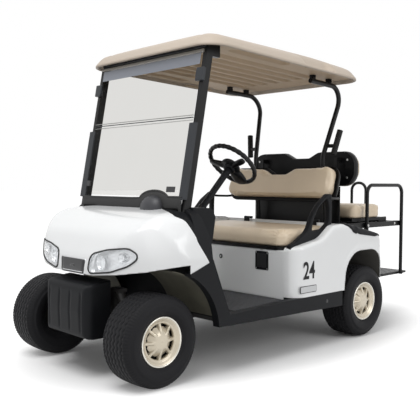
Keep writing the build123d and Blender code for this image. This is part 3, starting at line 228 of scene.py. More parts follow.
def tyre_profile(radius, half, bead):
    """Places across a tyre, as (offset, radius, waviness) from bead to bead."""
    wall = (  # distance in from the widest place, radius
        (0.024, 0.124), (0.016, 0.131), (0.0135, 0.137), (0.009, 0.1385), (0.004, 0.152), (0.001, 0.166),
        (0, 0.178), (0.0005, 0.186), (0.003, 0.1875), (0.005, 0.198), (0.009, 0.207),
        (0.014, radius - 0.0145), (0.021, radius - 0.0085),
    )
    profile = [(bead, 0.1035, 0), (bead + 0.003, 0.112, 0), (bead + 0.003, 0.118, 0)]
    profile += [(half - inward, r, 0) for inward, r in wall]
    rib = half - 0.026
    for groove, next_groove in zip(GROOVES, GROOVES[1:]):
        profile.append((rib, radius - CROWN_DROP * (rib / half) ** 2, 0.35 if rib < 0.075 else 0))
        rise = radius - CROWN_DROP * (groove / half) ** 2
        for share, depth in ((1, 0), (0.6, GROOVE_DEPTH), (-0.6, GROOVE_DEPTH), (-1, 0)):
            profile.append((groove + GROOVE_HALF * share, rise - depth, 1))
        rib = (groove + next_groove) / 2
    return profile + [(0, radius, 1)] + [(-offset, r, wave) for offset, r, wave in reversed(profile)]


rubber = finish("tyre_rubber", (0.012, 0.012, 0.0135), 0.62, 0.12, 300, 0.25, 0.0006, Specular_IOR_Level=0.15)
for place in WHEELS:
    low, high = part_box(f"tyre_{place}")
    centre = (low + high) / 2
    outer_radius = (high.z - low.z) / 2
    profile = tyre_profile(outer_radius - TYRE_GAP, (high.y - low.y) / 2 - TYRE_GAP, 0.072)
    rings = []
    for step, turn in enumerate(full_turn(TREAD_STEPS)):
        swing = math.sin(turn * WAVES) * WAVE
        sipe = 0 if step % (TREAD_STEPS // SIPES) else SIPE_DEPTH
        ring = []
        for offset, r, wave in profile:
            if 0.08 < abs(offset) < 0.1 and r > outer_radius - 0.02:
                r -= sipe
            y = centre.y + offset + swing * wave
            ring.append((centre.x + r * math.sin(turn), y, centre.z + r * math.cos(turn)))
        rings.append(ring)
    mesh = grid_mesh(rings, close_rows=True, close_columns=True)
    piece(f"rubber_tyre_{place}", mesh, rubber, f"tyre_{place}", True, f"wheel_{place}")

# ------------------------------
# Wheels. Pressed steel rims, black inside, behind champagne plastic covers that snap into
# the rim: a bright lip, a dished ring, eight ridged spokes and scooped windows.
SPOKES = 8
COVER_STEPS = 264
COVER_WALL = 0.0022
LIP_RADIUS = 0.1165
WINDOW_TOP = 0.0885
SPOKE_HALF = 0.0095
BARREL = (  # distance in from the face, radius
    (0.004, 0.1215), (0.006, 0.1225), (0.010, 0.119), (0.014, 0.104), (0.030, 0.1015),
    (0.110, 0.1015), (0.118, 0.104), (0.122, 0.112), (0.1235, 0.1115), (0.120, 0.102),
    (0.112, 0.0985), (0.060, 0.0985), (0.050, 0.093), (0.047, 0.070), (0.040, 0.055),
    (0.040, 0.022), (0.030, 0.018), (0.030, 0.0005),
)
champagne = finish("wheel_champagne", (0.60, 0.535, 0.42), 0.3, 0.03, 60, 0.03, 0.0005,
                   Metallic=0.35, Coat_Weight=0.35, Coat_Roughness=0.15)
lip_silver = finish("wheel_lip", (0.72, 0.69, 0.62), 0.2, 0.03, 60, 0.0, Metallic=0.6, Coat_Weight=0.5)
rim_black = finish("rim_black", (0.02, 0.018, 0.014), 0.55, 0.1, 200, 0.1, 0.0004)


def ease(low, high, value):
    """A smooth step from 0 to 1."""
    t = np.clip((value - low) / (high - low), 0, 1)
    return t * t * (3 - 2 * t)


def from_spoke(radius, turn):
    """Distance round a cover from the middle of the nearest spoke."""
    return np.abs((turn * SPOKES / (2 * math.pi) + 0.5) % 1 - 0.5) * 2 * math.pi / SPOKES * radius


def cover_height(radius, turn):
    """How far a cover's face stands out at a radius and an angle."""
    ridge = 1 - ease(0.0035, SPOKE_HALF, from_spoke(radius, turn))
    dish = -0.004 - 0.012 * ease(0.117, 0.094, radius) - 0.004 * ease(0.094, 0.088, radius)
    plain = np.where(radius > 0.088, dish, 0)
    spoke_line = -0.006 - 0.014 * ease(0.040, 0.092, radius)
    scoop = -0.007 - 0.030 * ease(0.036, 0.086, radius)
    window = scoop + (spoke_line - scoop) * ridge
    inner = window * (1 - ease(0.086, 0.091, radius)) + plain * ease(0.086, 0.091, radius)
    hub = -0.0035 - 0.0015 * (radius / 0.04) ** 2
    height = hub + (inner - hub) * ease(0.034, 0.042, radius)
    lip = -0.001 - 0.003 * ((radius - 0.1195) / 0.0035) ** 2
    return np.where(radius > LIP_RADIUS, np.maximum(lip, dish), height)


def axle_ring(centre, radius, across, angles):
    """Points round a wheel's axle at one radius, each as far across the cart as it is told."""
    x, z = centre.x + radius * np.sin(angles), centre.z + radius * np.cos(angles)
    return np.stack([x, across + 0 * angles, z], axis=1)


def drop_faces(mesh, unwanted):
    """Deletes the faces that are marked, one mark for each face."""
    shape = bmesh.new()
    shape.from_mesh(mesh)
    gone = [face for face, mark in zip(shape.faces, unwanted) if mark]
    bmesh.ops.delete(shape, geom=gone, context="FACES")
    shape.to_mesh(mesh)
    shape.free()


def walled(thing, thickness):
    """Gives a piece that is a bare sheet its wall."""
    thing.modifiers.new("wall", "SOLIDIFY").thickness = thickness
    return thing


radii = np.concatenate([np.linspace(0.0005, 0.036, 8), np.linspace(0.039, 0.094, 30),
                        np.linspace(0.096, 0.116, 8), np.linspace(0.1172, 0.1228, 9)])
turns = full_turn(COVER_STEPS)
face_radius = np.repeat((radii[1:] + radii[:-1]) / 2, COVER_STEPS)
face_turn = np.tile(turns, len(radii) - 1)
in_window = (0.070 + 0.004 * np.abs(np.cos(face_turn * SPOKES)) < face_radius) & (face_radius < WINDOW_TOP)
in_window &= from_spoke(face_radius, face_turn) > SPOKE_HALF
for place in WHEELS:
    low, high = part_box(f"wheel_{place}")
    side = 1 if place.endswith("left") else -1
    face = high.y if side > 0 else low.y
    centre = (low + high) / 2
    heights = [cover_height(np.full(COVER_STEPS, r), turns) for r in radii]
    rows = [axle_ring(centre, r, face + side * out, turns) for r, out in zip(radii, heights)]
    mesh = grid_mesh(rows, close_columns=True)
    mesh.polygons.foreach_set("material_index", [int(r > LIP_RADIUS) for r in face_radius])
    drop_faces(mesh, in_window)
    if side < 0:
        mesh.flip_normals()
    mesh.materials.append(champagne)
    mesh.materials.append(lip_silver)
    walled(piece(f"cover_{place}", mesh, None, f"wheel_{place}", True, f"wheel_{place}"), COVER_WALL)
    deepest = high.y - low.y - 0.0005
    rows = [axle_ring(centre, r, face - side * min(depth, deepest), full_turn(96)) for depth, r in BARREL]
    mesh = grid_mesh(rows, close_columns=True)
    piece(f"rim_{place}", mesh, rim_black, f"wheel_{place}", True, f"wheel_{place}")

# ------------------------------
# Front cowl. One thin moulding in gloss white, rounded every way, open below and behind,
# with a flanged wheel arch on each side and a hole for each lamp. It is screwed to the frame.
SIDES = ((1, "left"), (-1, "right"))
FRONT_AXLE = 1.1307
REAR_AXLE = -0.5473
AXLE_HEIGHT = 0.2286
FRONT_ARCH_RADIUS = 0.3386
SHELL = 0.0035
ROUNDNESS = 0.87  # how far the hood's sides are drawn in at its top


def front(distance):
    """X of a place that far ahead of the front axle."""
    return FRONT_AXLE + distance


def rear(distance):
    """X of a place that far ahead of the rear axle."""
    return REAR_AXLE + distance


def from_axle(axle, corners):
    """An outline whose corners are given ahead of an axle."""
    return [(axle + ahead, other, radius) for ahead, other, radius in corners]


def rounded(corners, step=0.12):
    """Points round an outline given as (a, b, corner radius)."""
    ring = []
    for k, (a, b, radius) in enumerate(corners):
        here = Vector((a, b))
        back = Vector(corners[k - 1][:2]) - here
        ahead = Vector(corners[(k + 1) % len(corners)][:2]) - here
        angle = back.angle(ahead)
        if radius == 0 or angle > math.pi - 0.02:
            ring.append((a, b))
            continue
        reach = min(radius / math.tan(angle / 2), 0.49 * back.length, 0.49 * ahead.length)
        radius = reach * math.tan(angle / 2)
        start, stop = here + back.normalized() * reach, here + ahead.normalized() * reach
        middle = here + (back.normalized() + ahead.normalized()).normalized() * radius / math.sin(angle / 2)
        first = math.atan2(*(start - middle).yx)
        sweep = (math.atan2(*(stop - middle).yx) - first + math.pi) % (2 * math.pi) - math.pi
        steps = max(3, math.ceil(abs(sweep) / step))
        for n in range(steps + 1):
            turn = first + sweep * n / steps
            ring.append((middle.x + radius * math.cos(turn), middle.y + radius * math.sin(turn)))
    return ring


ORDERS = {
    "x": lambda a, b, c: (c, a, b),
    "y": lambda a, b, c: (a, c, b),
    "z": lambda a, b, c: (a, b, c),
}
white_paint = finish("body_gloss_white", (0.80, 0.81, 0.815), 0.2, 0.008, 35, 0.02, 0.0008,
                     Coat_Weight=0.35, Coat_Roughness=0.06)
cut_mark = bpy.data.materials.new("cut_mark")


def prism(corners, axis, low, high, mark=0):
    """A rounded outline run along an axis; mark 1 makes faces that are dropped after a cut."""
    ring = rounded(corners)
    order = ORDERS[axis]
    count = len(ring)
    low, high = sorted((low, high))
    points = [order(a, b, low) for a, b in ring] + [order(a, b, high) for a, b in ring]
    faces = [tuple(range(count)), tuple(range(2 * count - 1, count - 1, -1))]
    faces += [(i, (i + 1) % count, count + (i + 1) % count, count + i) for i in range(count)]
    mesh = bpy.data.meshes.new("prism")
    mesh.from_pydata(points, [], faces)
    mesh.materials.append(white_paint)
    mesh.materials.append(cut_mark)
    mesh.polygons.foreach_set("material_index", [mark] * len(faces))
    shape = bmesh.new()
    shape.from_mesh(mesh)
    bmesh.ops.recalc_face_normals(shape, faces=shape.faces)
    shape.to_mesh(mesh)
    shape.free()
    return placed("prism", mesh)


def rectangle(a, b, radius=0):
    """The corners of an upright rectangle between two places along and two up."""
    return [(a[0], b[0], radius), (a[0], b[1], radius), (a[1], b[1], radius), (a[1], b[0], radius)]


def both_ways(right):
    """A front outline from its right half, given from top to bottom."""
    return right + [(-y, z, radius) for y, z, radius in reversed(right)]


def both_sides(left):
    """A plan outline from its left half."""
    return left + [(x, -y, radius) for x, y, radius in reversed(left)]


def plain_mesh(thing):
    """The mesh of an object as its modifiers leave it."""
    bpy.context.view_layer.update()
    return bpy.data.meshes.new_from_object(thing.evaluated_get(bpy.context.evaluated_depsgraph_get()))


def change(thing, kind, **settings):
    """Applies one modifier."""
    step = thing.modifiers.new(kind, kind)
    for key, value in settings.items():
        setattr(step, key, value)
    made = plain_mesh(thing)
    thing.modifiers.clear()
    used = thing.data
    thing.data = made
    bpy.data.meshes.remove(used)


def combine(thing, other, operation="DIFFERENCE"):
    """Cuts or joins with another object, which is used up."""
    change(thing, "BOOLEAN", operation=operation, solver="EXACT", object=other)
    used = other.data
    bpy.data.objects.remove(other)
    bpy.data.meshes.remove(used)


def softened(form, voxel, rounds):
    """Rounds a form at every edge."""
    change(form, "REMESH", mode="VOXEL", voxel_size=voxel, use_smooth_shade=True)
    change(form, "SMOOTH", factor=0.5, iterations=rounds)


def moulded(prisms, voxel, rounds):
    """Prisms intersected, then rounded at every edge."""
    form = prisms[0]
    for other in prisms[1:]:
        combine(form, other, "INTERSECT")
    softened(form, voxel, rounds)
    form.data.materials.clear()
    form.data.materials.append(white_paint)
    form.data.materials.append(cut_mark)
    return form


def open_up(form):
    """Drops the faces that a cutter left, so that a skin is left."""
    drop_faces(form.data, [polygon.material_index == 1 for polygon in form.data.polygons])


def parted(form, inner, outer):
    """Takes off the part of a form that is in one cutter, and cuts the form with another."""
    part = placed("part", form.data.copy())
    combine(part, inner, "INTERSECT")
    open_up(part)
    combine(form, outer)
    return part


def skin(form, name, surface, node, thickness=SHELL):
    """Makes an opened form a shell of one thickness and a piece of the object."""
    form.name = name
    form.data.materials.clear()
    form.data.materials.append(surface)
    shade_smooth(form.data)
    tie(walled(form, thickness), node, True, "chassis")


cowl_side = from_axle(FRONT_AXLE, [  # ahead of the axle, z, corner radius
    (0.150, 0.38, 0), (0.160, 0.56, 0.05), (0.150, 0.62, 0.08), (0.092, 0.742, 0.16),
    (-0.030, 0.836, 0.30), (-0.200, 0.860, 0.30), (-0.340, 0.866, 0), (-0.340, 0.38, 0),
])
cowl_plan = from_axle(FRONT_AXLE, [  # ahead of the axle, y, corner radius
    (0.167, 0.14, 0.25), (0.122, 0.36, 0.30), (0.035, 0.510, 0.18), (-0.090, 0.588, 0.25),
    (-0.36, 0.588, 0),
])
cowl_front = [  # y, z, corner radius
    (0.25, 0.871, 0.5), (0.515, 0.842, 0.13), (0.566, 0.715, 0.12), (0.591, 0.60, 0.1),
    (0.591, 0.36, 0),
]
cowl = moulded([prism(cowl_side, "y", -0.6, 0.6), prism(both_sides(cowl_plan), "z", 0.3, 0.9),
                prism(both_ways(cowl_front), "x", front(-0.4), front(0.2))], voxel=0.0075, rounds=16)
for point in cowl.data.vertices:
    rise = min(max((point.co.z - 0.60) / 0.27, 0), 1)
    draw = ROUNDNESS * float(ease(front(-0.24), front(0.10), point.co.x))
    point.co.y *= math.sqrt(1 - (draw * rise) ** 2)
change(cowl, "SMOOTH", factor=0.5, iterations=14)
lamp_outline = [  # y, z, corner radius
    (0.140, 0.533, 0.028), (0.149, 0.634, 0.046), (0.270, 0.663, 0.3), (0.395, 0.677, 0.06),
    (0.458, 0.640, 0.034), (0.400, 0.587, 0.12), (0.300, 0.552, 0.2),
]


def lamp_cutter(side, grow):
    """The space of a lamp seen from the front."""
    grown = [(side * (y + grow * (1 if y > 0.2 else -1)), z + grow * (1 if z > 0.6 else -1), r)
             for y, z, r in lamp_outline]
    return prism(grown, "x", front(-0.10), front(0.2), 1)


lens_skins = [parted(cowl, lamp_cutter(side, -0.001), lamp_cutter(side, 0.0015)) for side, tag in SIDES]
arch = [(front(FRONT_ARCH_RADIUS * math.sin(t)), AXLE_HEIGHT + FRONT_ARCH_RADIUS * math.cos(t), 0)
        for t in full_turn(72)]
combine(cowl, prism(arch, "y", -0.7, 0.7, 1))
lip_line = [(0.7, 0.2, 0), (0.7, 0.62, 0), (0.588, 0.592, 0.1), (0.30, 0.517, 0.3), (0.19, 0.499, 0.3)]
combine(cowl, prism(both_ways(lip_line), "x", front(-0.14), front(0.3), 1))
behind = from_axle(FRONT_AXLE, [
    (-0.199, 1.0, 0), (-0.199, 0.80, 0), (-0.197, 0.709, 0.08), (-0.265, 0.595, 0), (-0.14, 0.549, 0),
    (-0.139, 0.3, 0), (-0.5, 0.3, 0), (-0.5, 1.0, 0),
])
combine(cowl, prism(behind, "y", -0.7, 0.7, 1))
trim_side = from_axle(FRONT_AXLE, [
    (-0.10, 0.9, 0), (-0.104, 0.835, 0.02), (-0.157, 0.81, 0.04), (-0.178, 0.768, 0), (-0.2, 0.72, 0),
    (-0.25, 0.70, 0), (-0.3, 0.70, 0), (-0.3, 0.9, 0),
])
trim_plan = from_axle(FRONT_AXLE, [
    (-0.201, 0.285, 0), (-0.160, 0.36, 0.1), (-0.118, 0.45, 0.08), (-0.120, 0.52, 0.08), (-0.150, 0.60, 0),
    (-0.30, 0.62, 0), (-0.30, 0.285, 0),
])


def trim_cutter(side):
    """The space of the black trim at a rear corner of the hood."""
    cutter = prism(trim_side, "y", -0.7, 0.7, 1)
    plan = [(x, side * y, radius) for x, y, radius in trim_plan]
    combine(cutter, prism(plan, "z", 0.6, 1.0, 1), "INTERSECT")
    return cutter


trim_black = finish("trim_black_plastic", (0.0085, 0.009, 0.0105), 0.5, 0.1, 420, 0.3, 0.0006,
                    Specular_IOR_Level=0.12)
for side, tag in SIDES:
    skin(parted(cowl, trim_cutter(side), trim_cutter(side)), f"cowl_trim_{tag}", trim_black, "front_cowl")
open_up(cowl)
cowl_points = np.array([v.co for v in cowl.data.vertices])
skin(cowl, "cowl_skin", white_paint, "front_cowl")

# ------------------------------
# Headlamps. A clear lens flush with the cowl in a black rubber gasket; behind it a bright
# vacuum-coated reflector with facets, a deep main bowl and a small bowl for the turn lamp.
REFLECTOR_DEPTH = 0.03
lens_clear = finish("lens_clear", (0.96, 0.97, 0.98), 0.05, 0.005, 90, 0.05, 0.0006,
                    Transmission_Weight=0.93, IOR=1.45)
bright = finish("reflector_bright", (0.93, 0.94, 0.95), 0.32, 0.02, 30, 0, Metallic=0.6)
gasket_rubber = finish("gasket_rubber", (0.012, 0.012, 0.012), 0.6, 0.1, 200, 0.1, 0.0003)


def pebbled(surface, scale, strength, distance):
    """Adds a bump of small cells to a finish, over its own grain if it has one."""
    tree = surface.node_tree
    grain = tree.nodes.get("Bump")
    whole = tree.nodes["Texture Coordinate"].outputs["Object"]
    cells = shader_node(tree, "TexVoronoi", {"Vector": whole, "Scale": scale}).outputs["Distance"]
    bump = shader_node(tree, "Bump", {"Height": cells, "Strength": strength, "Distance": distance})
    if grain:
        tree.links.new(grain.outputs["Normal"], bump.inputs["Normal"])
    tree.links.new(bump.outputs["Normal"], tree.nodes["Principled BSDF"].inputs["Normal"])


pebbled(bright, 75, 0.4, 0.004)


def rim_loop(mesh):
    """The points of a mesh's longest open edge, in order."""
    shape = bmesh.new()
    shape.from_mesh(mesh)
    open_edges = dict.fromkeys(edge for edge in shape.edges if edge.is_boundary)
    loops = []
    while open_edges:
        edge = next(iter(open_edges))
        del open_edges[edge]
        loop = [edge.verts[0], edge.verts[1]]
        while True:
            ahead = [e for e in loop[-1].link_edges if e in open_edges]
            if not ahead:
                break
            del open_edges[ahead[0]]
            loop.append(ahead[0].other_vert(loop[-1]))
        loops.append([v.co.copy() for v in loop])
    shape.free()
    return max(loops, key=len)


def bead(name, points, radius, surface, node, closed=True):
    """A round bead along a line of points, as a mesh."""
    curve = bpy.data.curves.new(name, "CURVE")
    curve.dimensions = "3D"
    curve.bevel_depth = radius
    curve.bevel_resolution = 3
    line = curve.splines.new("POLY")
    line.points.add(len(points) - 1)
    for spot, point in zip(line.points, points):
        spot.co = (*point, 1)
    line.use_cyclic_u = closed
    source = placed(name, curve)
    mesh = shade_smooth(plain_mesh(source))
    bpy.data.objects.remove(source)
    piece(name, mesh, surface, node)


def round_ring(x, y, z, radius):
    """Points of an upright ring that faces ahead."""
    return [(x, y + radius * math.sin(t), z + radius * math.cos(t)) for t in full_turn(40)]


for (side, tag), patch in zip(SIDES, lens_skins):
    loop = rim_loop(patch.data)
    step = max(1, len(loop) // 110)
    bead(f"lamp_gasket_{tag}", [p + Vector((0.0005, 0, 0)) for p in loop[::step]], 0.0042, gasket_rubber,
         "headlamps")
    back = patch.data.copy()
    shape = bmesh.new()
    shape.from_mesh(back)
    middle = Vector(np.mean([v.co for v in shape.verts], axis=0))
    made = bmesh.ops.extrude_edge_only(shape, edges=[edge for edge in shape.edges if edge.is_boundary])
    for part in made["geom"]:
        if isinstance(part, bmesh.types.BMVert):
            part.co.x += REFLECTOR_DEPTH
    for v in shape.verts:
        v.co = middle + (v.co - middle) * 0.985
        v.co.x -= REFLECTOR_DEPTH + 0.002
    shape.to_mesh(back)
    shape.free()
    piece(f"lamp_reflector_{tag}", shade_smooth(back), bright, "headlamps", True)
    skin_points = np.array([v.co for v in patch.data.vertices])
    for name, y, z, radius, depth in (("main", side * 0.222, 0.592, 0.036, 0.03),
                                      ("turn", side * 0.352, 0.624, 0.024, 0.02)):
        near = np.argmin((skin_points[:, 1] - y) ** 2 + (skin_points[:, 2] - z) ** 2)
        x = skin_points[near, 0] - 0.016
        rows = [round_ring(x - depth * (1 - share * share), y, z, radius * share)
                for share in np.linspace(0.02, 1, 12)]
        piece(f"lamp_bowl_{name}_{tag}", grid_mesh(rows, close_columns=True), bright, "headlamps")
        bead(f"lamp_ring_{name}_{tag}", round_ring(x, y, z, radius), 0.0015, bright, "headlamps")
    skin(patch, f"lamp_lens_{tag}", lens_clear, "headlamps", 0.002)

# ------------------------------
# Nose plate. A blank black plate with a thin bright frame and a narrow strip below, glued
# to the cowl between the lamps. It follows the cowl's curve.
plate_black = finish("plate_black", (0.02, 0.02, 0.022), 0.3, 0.05, 200, 0.05, 0.0002)
plate_bright = finish("plate_bright", (0.62, 0.63, 0.64), 0.3, 0.04, 90, 0.03, 0.0003, Metallic=0.8)
nose_points = cowl_points[cowl_points[:, 0] > front(0.05)]


def on_nose(y, z, lift):
    """A place on the nose, lifted off the cowl's skin."""
    away = (nose_points[:, 1] - y) ** 2 + (nose_points[:, 2] - z) ** 2
    close = np.argsort(away)[:6]
    weight = 1 / (away[close] + 1e-6)
    return float((nose_points[close, 0] * weight).sum() / weight.sum()) + lift, y, z


nose_panels = (  # name, half its width, bottom, top, lift, material
    ("nose_plate_frame", 0.117, 0.526, 0.606, 0.0015, plate_bright),
    ("nose_plate_face", 0.1125, 0.5305, 0.6015, 0.003, plate_black),
    ("nose_plate_strip", 0.098, 0.5345, 0.5385, 0.0036, plate_bright),
)
for name, half, low, high, lift, surface in nose_panels:
    ring = rounded(both_ways([(half, high, 0.009), (half - 0.008, low, 0.009)]))
    middle = (low + high) / 2
    rows = [[on_nose(y * share, middle + (z - middle) * share, lift) for y, z in ring]
            for share in (0.0, 0.25, 0.5, 0.75, 1.0)]
    walled(piece(name, grid_mesh(rows, close_columns=True), surface, "front_cowl"), 0.003)

# ------------------------------
# Bumper apron. Thick grained black plastic round the frame's nose, with soft corners and
# four shallow upright grooves in its face. It is bolted to the frame under the cowl's lip.
APRON_WALL = 0.004
APRON_BACK = front(0.0595)
APRON_FOOT = 0.2065
GROOVE_PLACES = (-0.147, -0.049, 0.049, 0.147)
grained_black = finish("grained_black_plastic", (0.0085, 0.009, 0.0105), 0.5, 0.1, 420, 0.3, 0.0006,
                       Specular_IOR_Level=0.12)
apron_side = from_axle(FRONT_AXLE, [  # ahead of the axle, z, corner radius
    (0.207, 0.212, 0.03), (0.213, 0.35, 0.3), (0.204, 0.476, 0.04), (0.000, 0.505, 0), (0.000, 0.18, 0),
    (0.15, 0.200, 0),
])
apron_plan = from_axle(FRONT_AXLE, [(0.216, 0.10, 0.4), (0.205, 0.202, 0.05), (-0.02, 0.196, 0)])
apron = moulded([prism(apron_side, "y", -0.3, 0.3), prism(both_sides(apron_plan), "z", 0.1, 0.6)],
                voxel=0.006, rounds=8)
combine(apron, prism(rectangle((APRON_BACK, front(-0.1)), (0.05, 0.7)), "y", -0.5, 0.5, 1))
combine(apron, prism(rectangle((front(0.5), front(-0.1)), (0.0, APRON_FOOT)), "y", -0.5, 0.5, 1))
open_up(apron)
for point in apron.data.vertices:
    x, y, z = point.co
    if x > front(0.185):
        fade = float(ease(0.225, 0.26, z) * ease(0.455, 0.42, z) * ease(front(0.185), front(0.2), x))
        dents = sum(math.exp(-(((y - groove) / 0.0065) ** 2)) for groove in GROOVE_PLACES)
        point.co.x -= 0.0045 * fade * dents
skin(apron, "apron_skin", grained_black, "bumper_apron", APRON_WALL)

# ------------------------------
# Steel under the floor. Painted frame, forks, arms, dampers and leaf springs, cast hubs and
# housings; all carry a little dust. The batteries are one dark red-brown block.


def paint(surface, *nodes):
    """Gives CAD nodes a finish in place of their plain one."""
    for node in nodes:
        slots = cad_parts[node].data.materials
        slots.clear()
        slots.append(surface)


steel_black = finish("chassis_black_paint", (0.018, 0.017, 0.016), 0.45, 0.2, 60, 0.15, 0.001)
cast_grey = finish("cast_dark_iron", (0.05, 0.048, 0.045), 0.6, 0.2, 180, 0.4, 0.001, Metallic=0.5)
motor_paint = finish("motor_dark_paint", (0.03, 0.03, 0.032), 0.4, 0.15, 90, 0.15, 0.0006)
battery_brown = finish("battery_plastic", (0.07, 0.02, 0.015), 0.4, 0.1, 120, 0.15, 0.0005)
liner_dusty = finish("liner_dusty_plastic", (0.10, 0.095, 0.070), 0.75, 0.35, 14, 0.3, 0.002)
paint(steel_black, "chassis_frame", "front_suspension", "tie_rod", "rear_springs")
paint(cast_grey, "knuckle_left", "knuckle_right", "rear_axle")
paint(motor_paint, "drive_motor")
paint(battery_brown, "battery_pack")
paint(liner_dusty, "front_wheel_liners")

# ------------------------------
# Floor, sills and dash. Grained black mouldings; the floor has a ribbed rubber mat, and the
# instrument cover is a smooth dome that stands on the hood against the windshield.
MAT_FRONT = front(-0.47)
MAT_REAR = rear(0.742)
MAT_HALF = 0.535
MAT_WALL = 0.0022
RIB = 0.026
RIB_TOP = 0.3135
RIB_FOOT = 0.3108
COVER_BACK = front(-0.1975)
COVER_MIDDLE = 0.225
mat_grey = finish("floor_mat_rubber", (0.040, 0.041, 0.045), 0.7, 0.12, 300, 0.3, 0.0008)
paint(grained_black, "floor_and_sills", "dash", "bag_deck")
rib_lines = [MAT_REAR]
while rib_lines[-1] < MAT_FRONT - RIB:
    rib_lines += [rib_lines[-1] + RIB * share for share in (0.5, 0.58, 0.92, 1)]
rows = [[(x, y, RIB_FOOT if n % 4 in (2, 3) else RIB_TOP) for y in np.linspace(-MAT_HALF, MAT_HALF, 12)]
        for n, x in enumerate(rib_lines)]
walled(piece("floor_mat", grid_mesh(rows, smooth=False), mat_grey, "floor_and_sills"), MAT_WALL)
rows = []
for rise in np.linspace(0, math.pi / 2, 20):
    width = math.cos(rise) ** 0.75
    row = []
    for swing in np.linspace(-math.pi / 2, math.pi / 2, 40):
        x = COVER_BACK + 0.062 * width * math.cos(swing) ** 0.8
        y = COVER_MIDDLE + 0.083 * width * math.sin(swing)
        row.append((x, y, 0.850 + 0.012 * (COVER_BACK - x) / 0.07 + 0.077 * math.sin(rise) ** 0.9))
    rows.append(row)
cover_slate = finish("cover_slate_plastic", (0.030, 0.031, 0.036), 0.45, 0.08, 420, 0.25, 0.0005)
walled(piece("instrument_dome", grid_mesh(rows), cover_slate, "instrument_cover", True), 0.003)

# ------------------------------
# Steering wheel and column. A black foam rim on a moulded centre: a domed pad with two raked
# spokes and a broad lower one. It turns with the shaft in a moulded column from the dash.
TILT = math.radians(46)
WHEEL_CENTRE = Vector((front(-0.75), 0.27, 1.104))
UP_WHEEL = Vector((math.sin(TILT), 0, math.cos(TILT)))
OUT_OF_WHEEL = Vector((-math.cos(TILT), 0, math.sin(TILT)))
ACROSS = Vector((0, 1, 0))
RING = 0.148
wheel_black = finish("wheel_black_foam", (0.006, 0.006, 0.0065), 0.42, 0.08, 350, 0.25, 0.0004,
                     Specular_IOR_Level=0.22)


def on_wheel(reach, turn, out):
    """A place that far from the wheel's centre at an angle, and that far out of its plane."""
    up, across = reach * math.cos(turn), reach * math.sin(turn)
    return WHEEL_CENTRE + UP_WHEEL * up + ACROSS * across + OUT_OF_WHEEL * out


rows = []
for turn in full_turn(120):
    grip = 0.0125 + 0.0011 * math.cos(turn * 28) * float(ease(0.2, 0.5, abs(math.cos(turn * 0.5))))
    rows.append([on_wheel(RING + grip * math.cos(roll), turn, grip * 1.1 * math.sin(roll))
                 for roll in full_turn(20)])
piece("wheel_rim", grid_mesh(rows, True, True), wheel_black, "steering_wheel", True, "steering_wheel")
rows = []
for turn in full_turn(144):
    swing = abs(math.degrees(math.atan2(math.sin(turn), math.cos(turn))))
    side_spoke = math.exp(-(((swing - 72) / 11) ** 4))
    low_spoke = math.exp(-(((swing - 180) / 30) ** 4))
    reach = 0.060 + (RING - 0.064) * max(side_spoke, low_spoke)
    faces = [(share, 0.004 - 0.014 * share**2 if share < 0.98 else -0.016)
             for share in np.linspace(0.12, 1, 14)]
    backs = [(share, -0.024 - 0.022 * (1 - share)) for share in np.linspace(1, 0.3, 6)]
    rows.append([on_wheel(reach * share, turn, out) for share, out in [(0, 0.004)] + faces + backs])
piece("wheel_pad", grid_mesh(rows, close_rows=True), wheel_black, "steering_wheel", False, "steering_wheel")


def turned(profile, count):
    """A mesh turned about the shaft, from distances down it and radii."""
    rows = [[on_wheel(radius, t, -depth) for t in full_turn(count)] for depth, radius in profile]
    return grid_mesh(rows, close_columns=True)


hub = ((0.012, 0.036), (0.03, 0.038), (0.044, 0.036), (0.0475, 0.030), (0.0475, 0.0105), (0.1, 0.0099))
piece("wheel_hub", turned(hub, 48), grained_black, "steering_wheel", False, "steering_wheel")
column = (
    (0.120, 0.0106), (0.0488, 0.0106), (0.0486, 0.0200), (0.052, 0.0222), (0.078, 0.0222), (0.084, 0.0190),
    (0.330, 0.0190), (0.336, 0.0235), (0.636, 0.0235), (0.638, 0.0005),
)
column_tube = piece("column_tube", turned(column, 40), grained_black, "steering_column", True)
column_tube.modifiers.new("crisp edges", "EDGE_SPLIT").split_angle = math.radians(40)

# ------------------------------
# Pedals. Painted steel arms with ribbed rubber faces; the ribs run across the foot.
tube_black = finish("black_powder_coat", (0.006, 0.006, 0.0065), 0.34, 0.08, 500, 0.18, 0.0003,
                    Specular_IOR_Level=0.22)
paint(tube_black, "pedals", "seat_hinges")
pedal_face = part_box("pedals")[0].x
for name, y, half, top in (("brake", 0.23, 0.032, 0.43), ("go", 0.08, 0.0445, 0.42)):
    rows = [[(pedal_face - (0.0045 if n % 4 in (1, 2) else 0.0015), spot, z)
             for spot in np.linspace(y - half, y + half, 4)]
            for n, z in enumerate(np.linspace(top - 0.070, top, 25))]
    walled(piece(f"pedal_face_{name}", grid_mesh(rows, smooth=False), gasket_rubber, "pedals"), 0.0012)

# ------------------------------
# Windshield. Two panes of clear acrylic, slightly grey, that meet at a fold strip, in black
# channels and clips on the struts; a rubber foot trim arches over the instrument cover.
LEAN = math.radians(10.56)
GLASS_FOOT = Vector((front(-0.227), 0, 0.896))
UP_GLASS = Vector((-math.sin(LEAN), 0, math.cos(LEAN)))
AHEAD_OF_GLASS = Vector((math.cos(LEAN), 0, math.sin(LEAN)))
acrylic = finish("windshield_acrylic", (0.73, 0.725, 0.705), 0.02, 0.004, 20, 0,
                 Transmission_Weight=1.0, IOR=1.02, Specular_IOR_Level=0.9)
channel_dark = finish("channel_dark", (0.024, 0.027, 0.032), 0.4, 0.08, 300, 0.15, 0.0003,
                      Specular_IOR_Level=0.3)
tint_band = finish("windshield_tint", (0.20, 0.215, 0.25), 0.18, 0.03, 60, 0.02, 0.0003)
rail_grey = finish("header_rail", (0.30, 0.28, 0.25), 0.4, 0.05, 120, 0.05, 0.0003, Metallic=0.3)
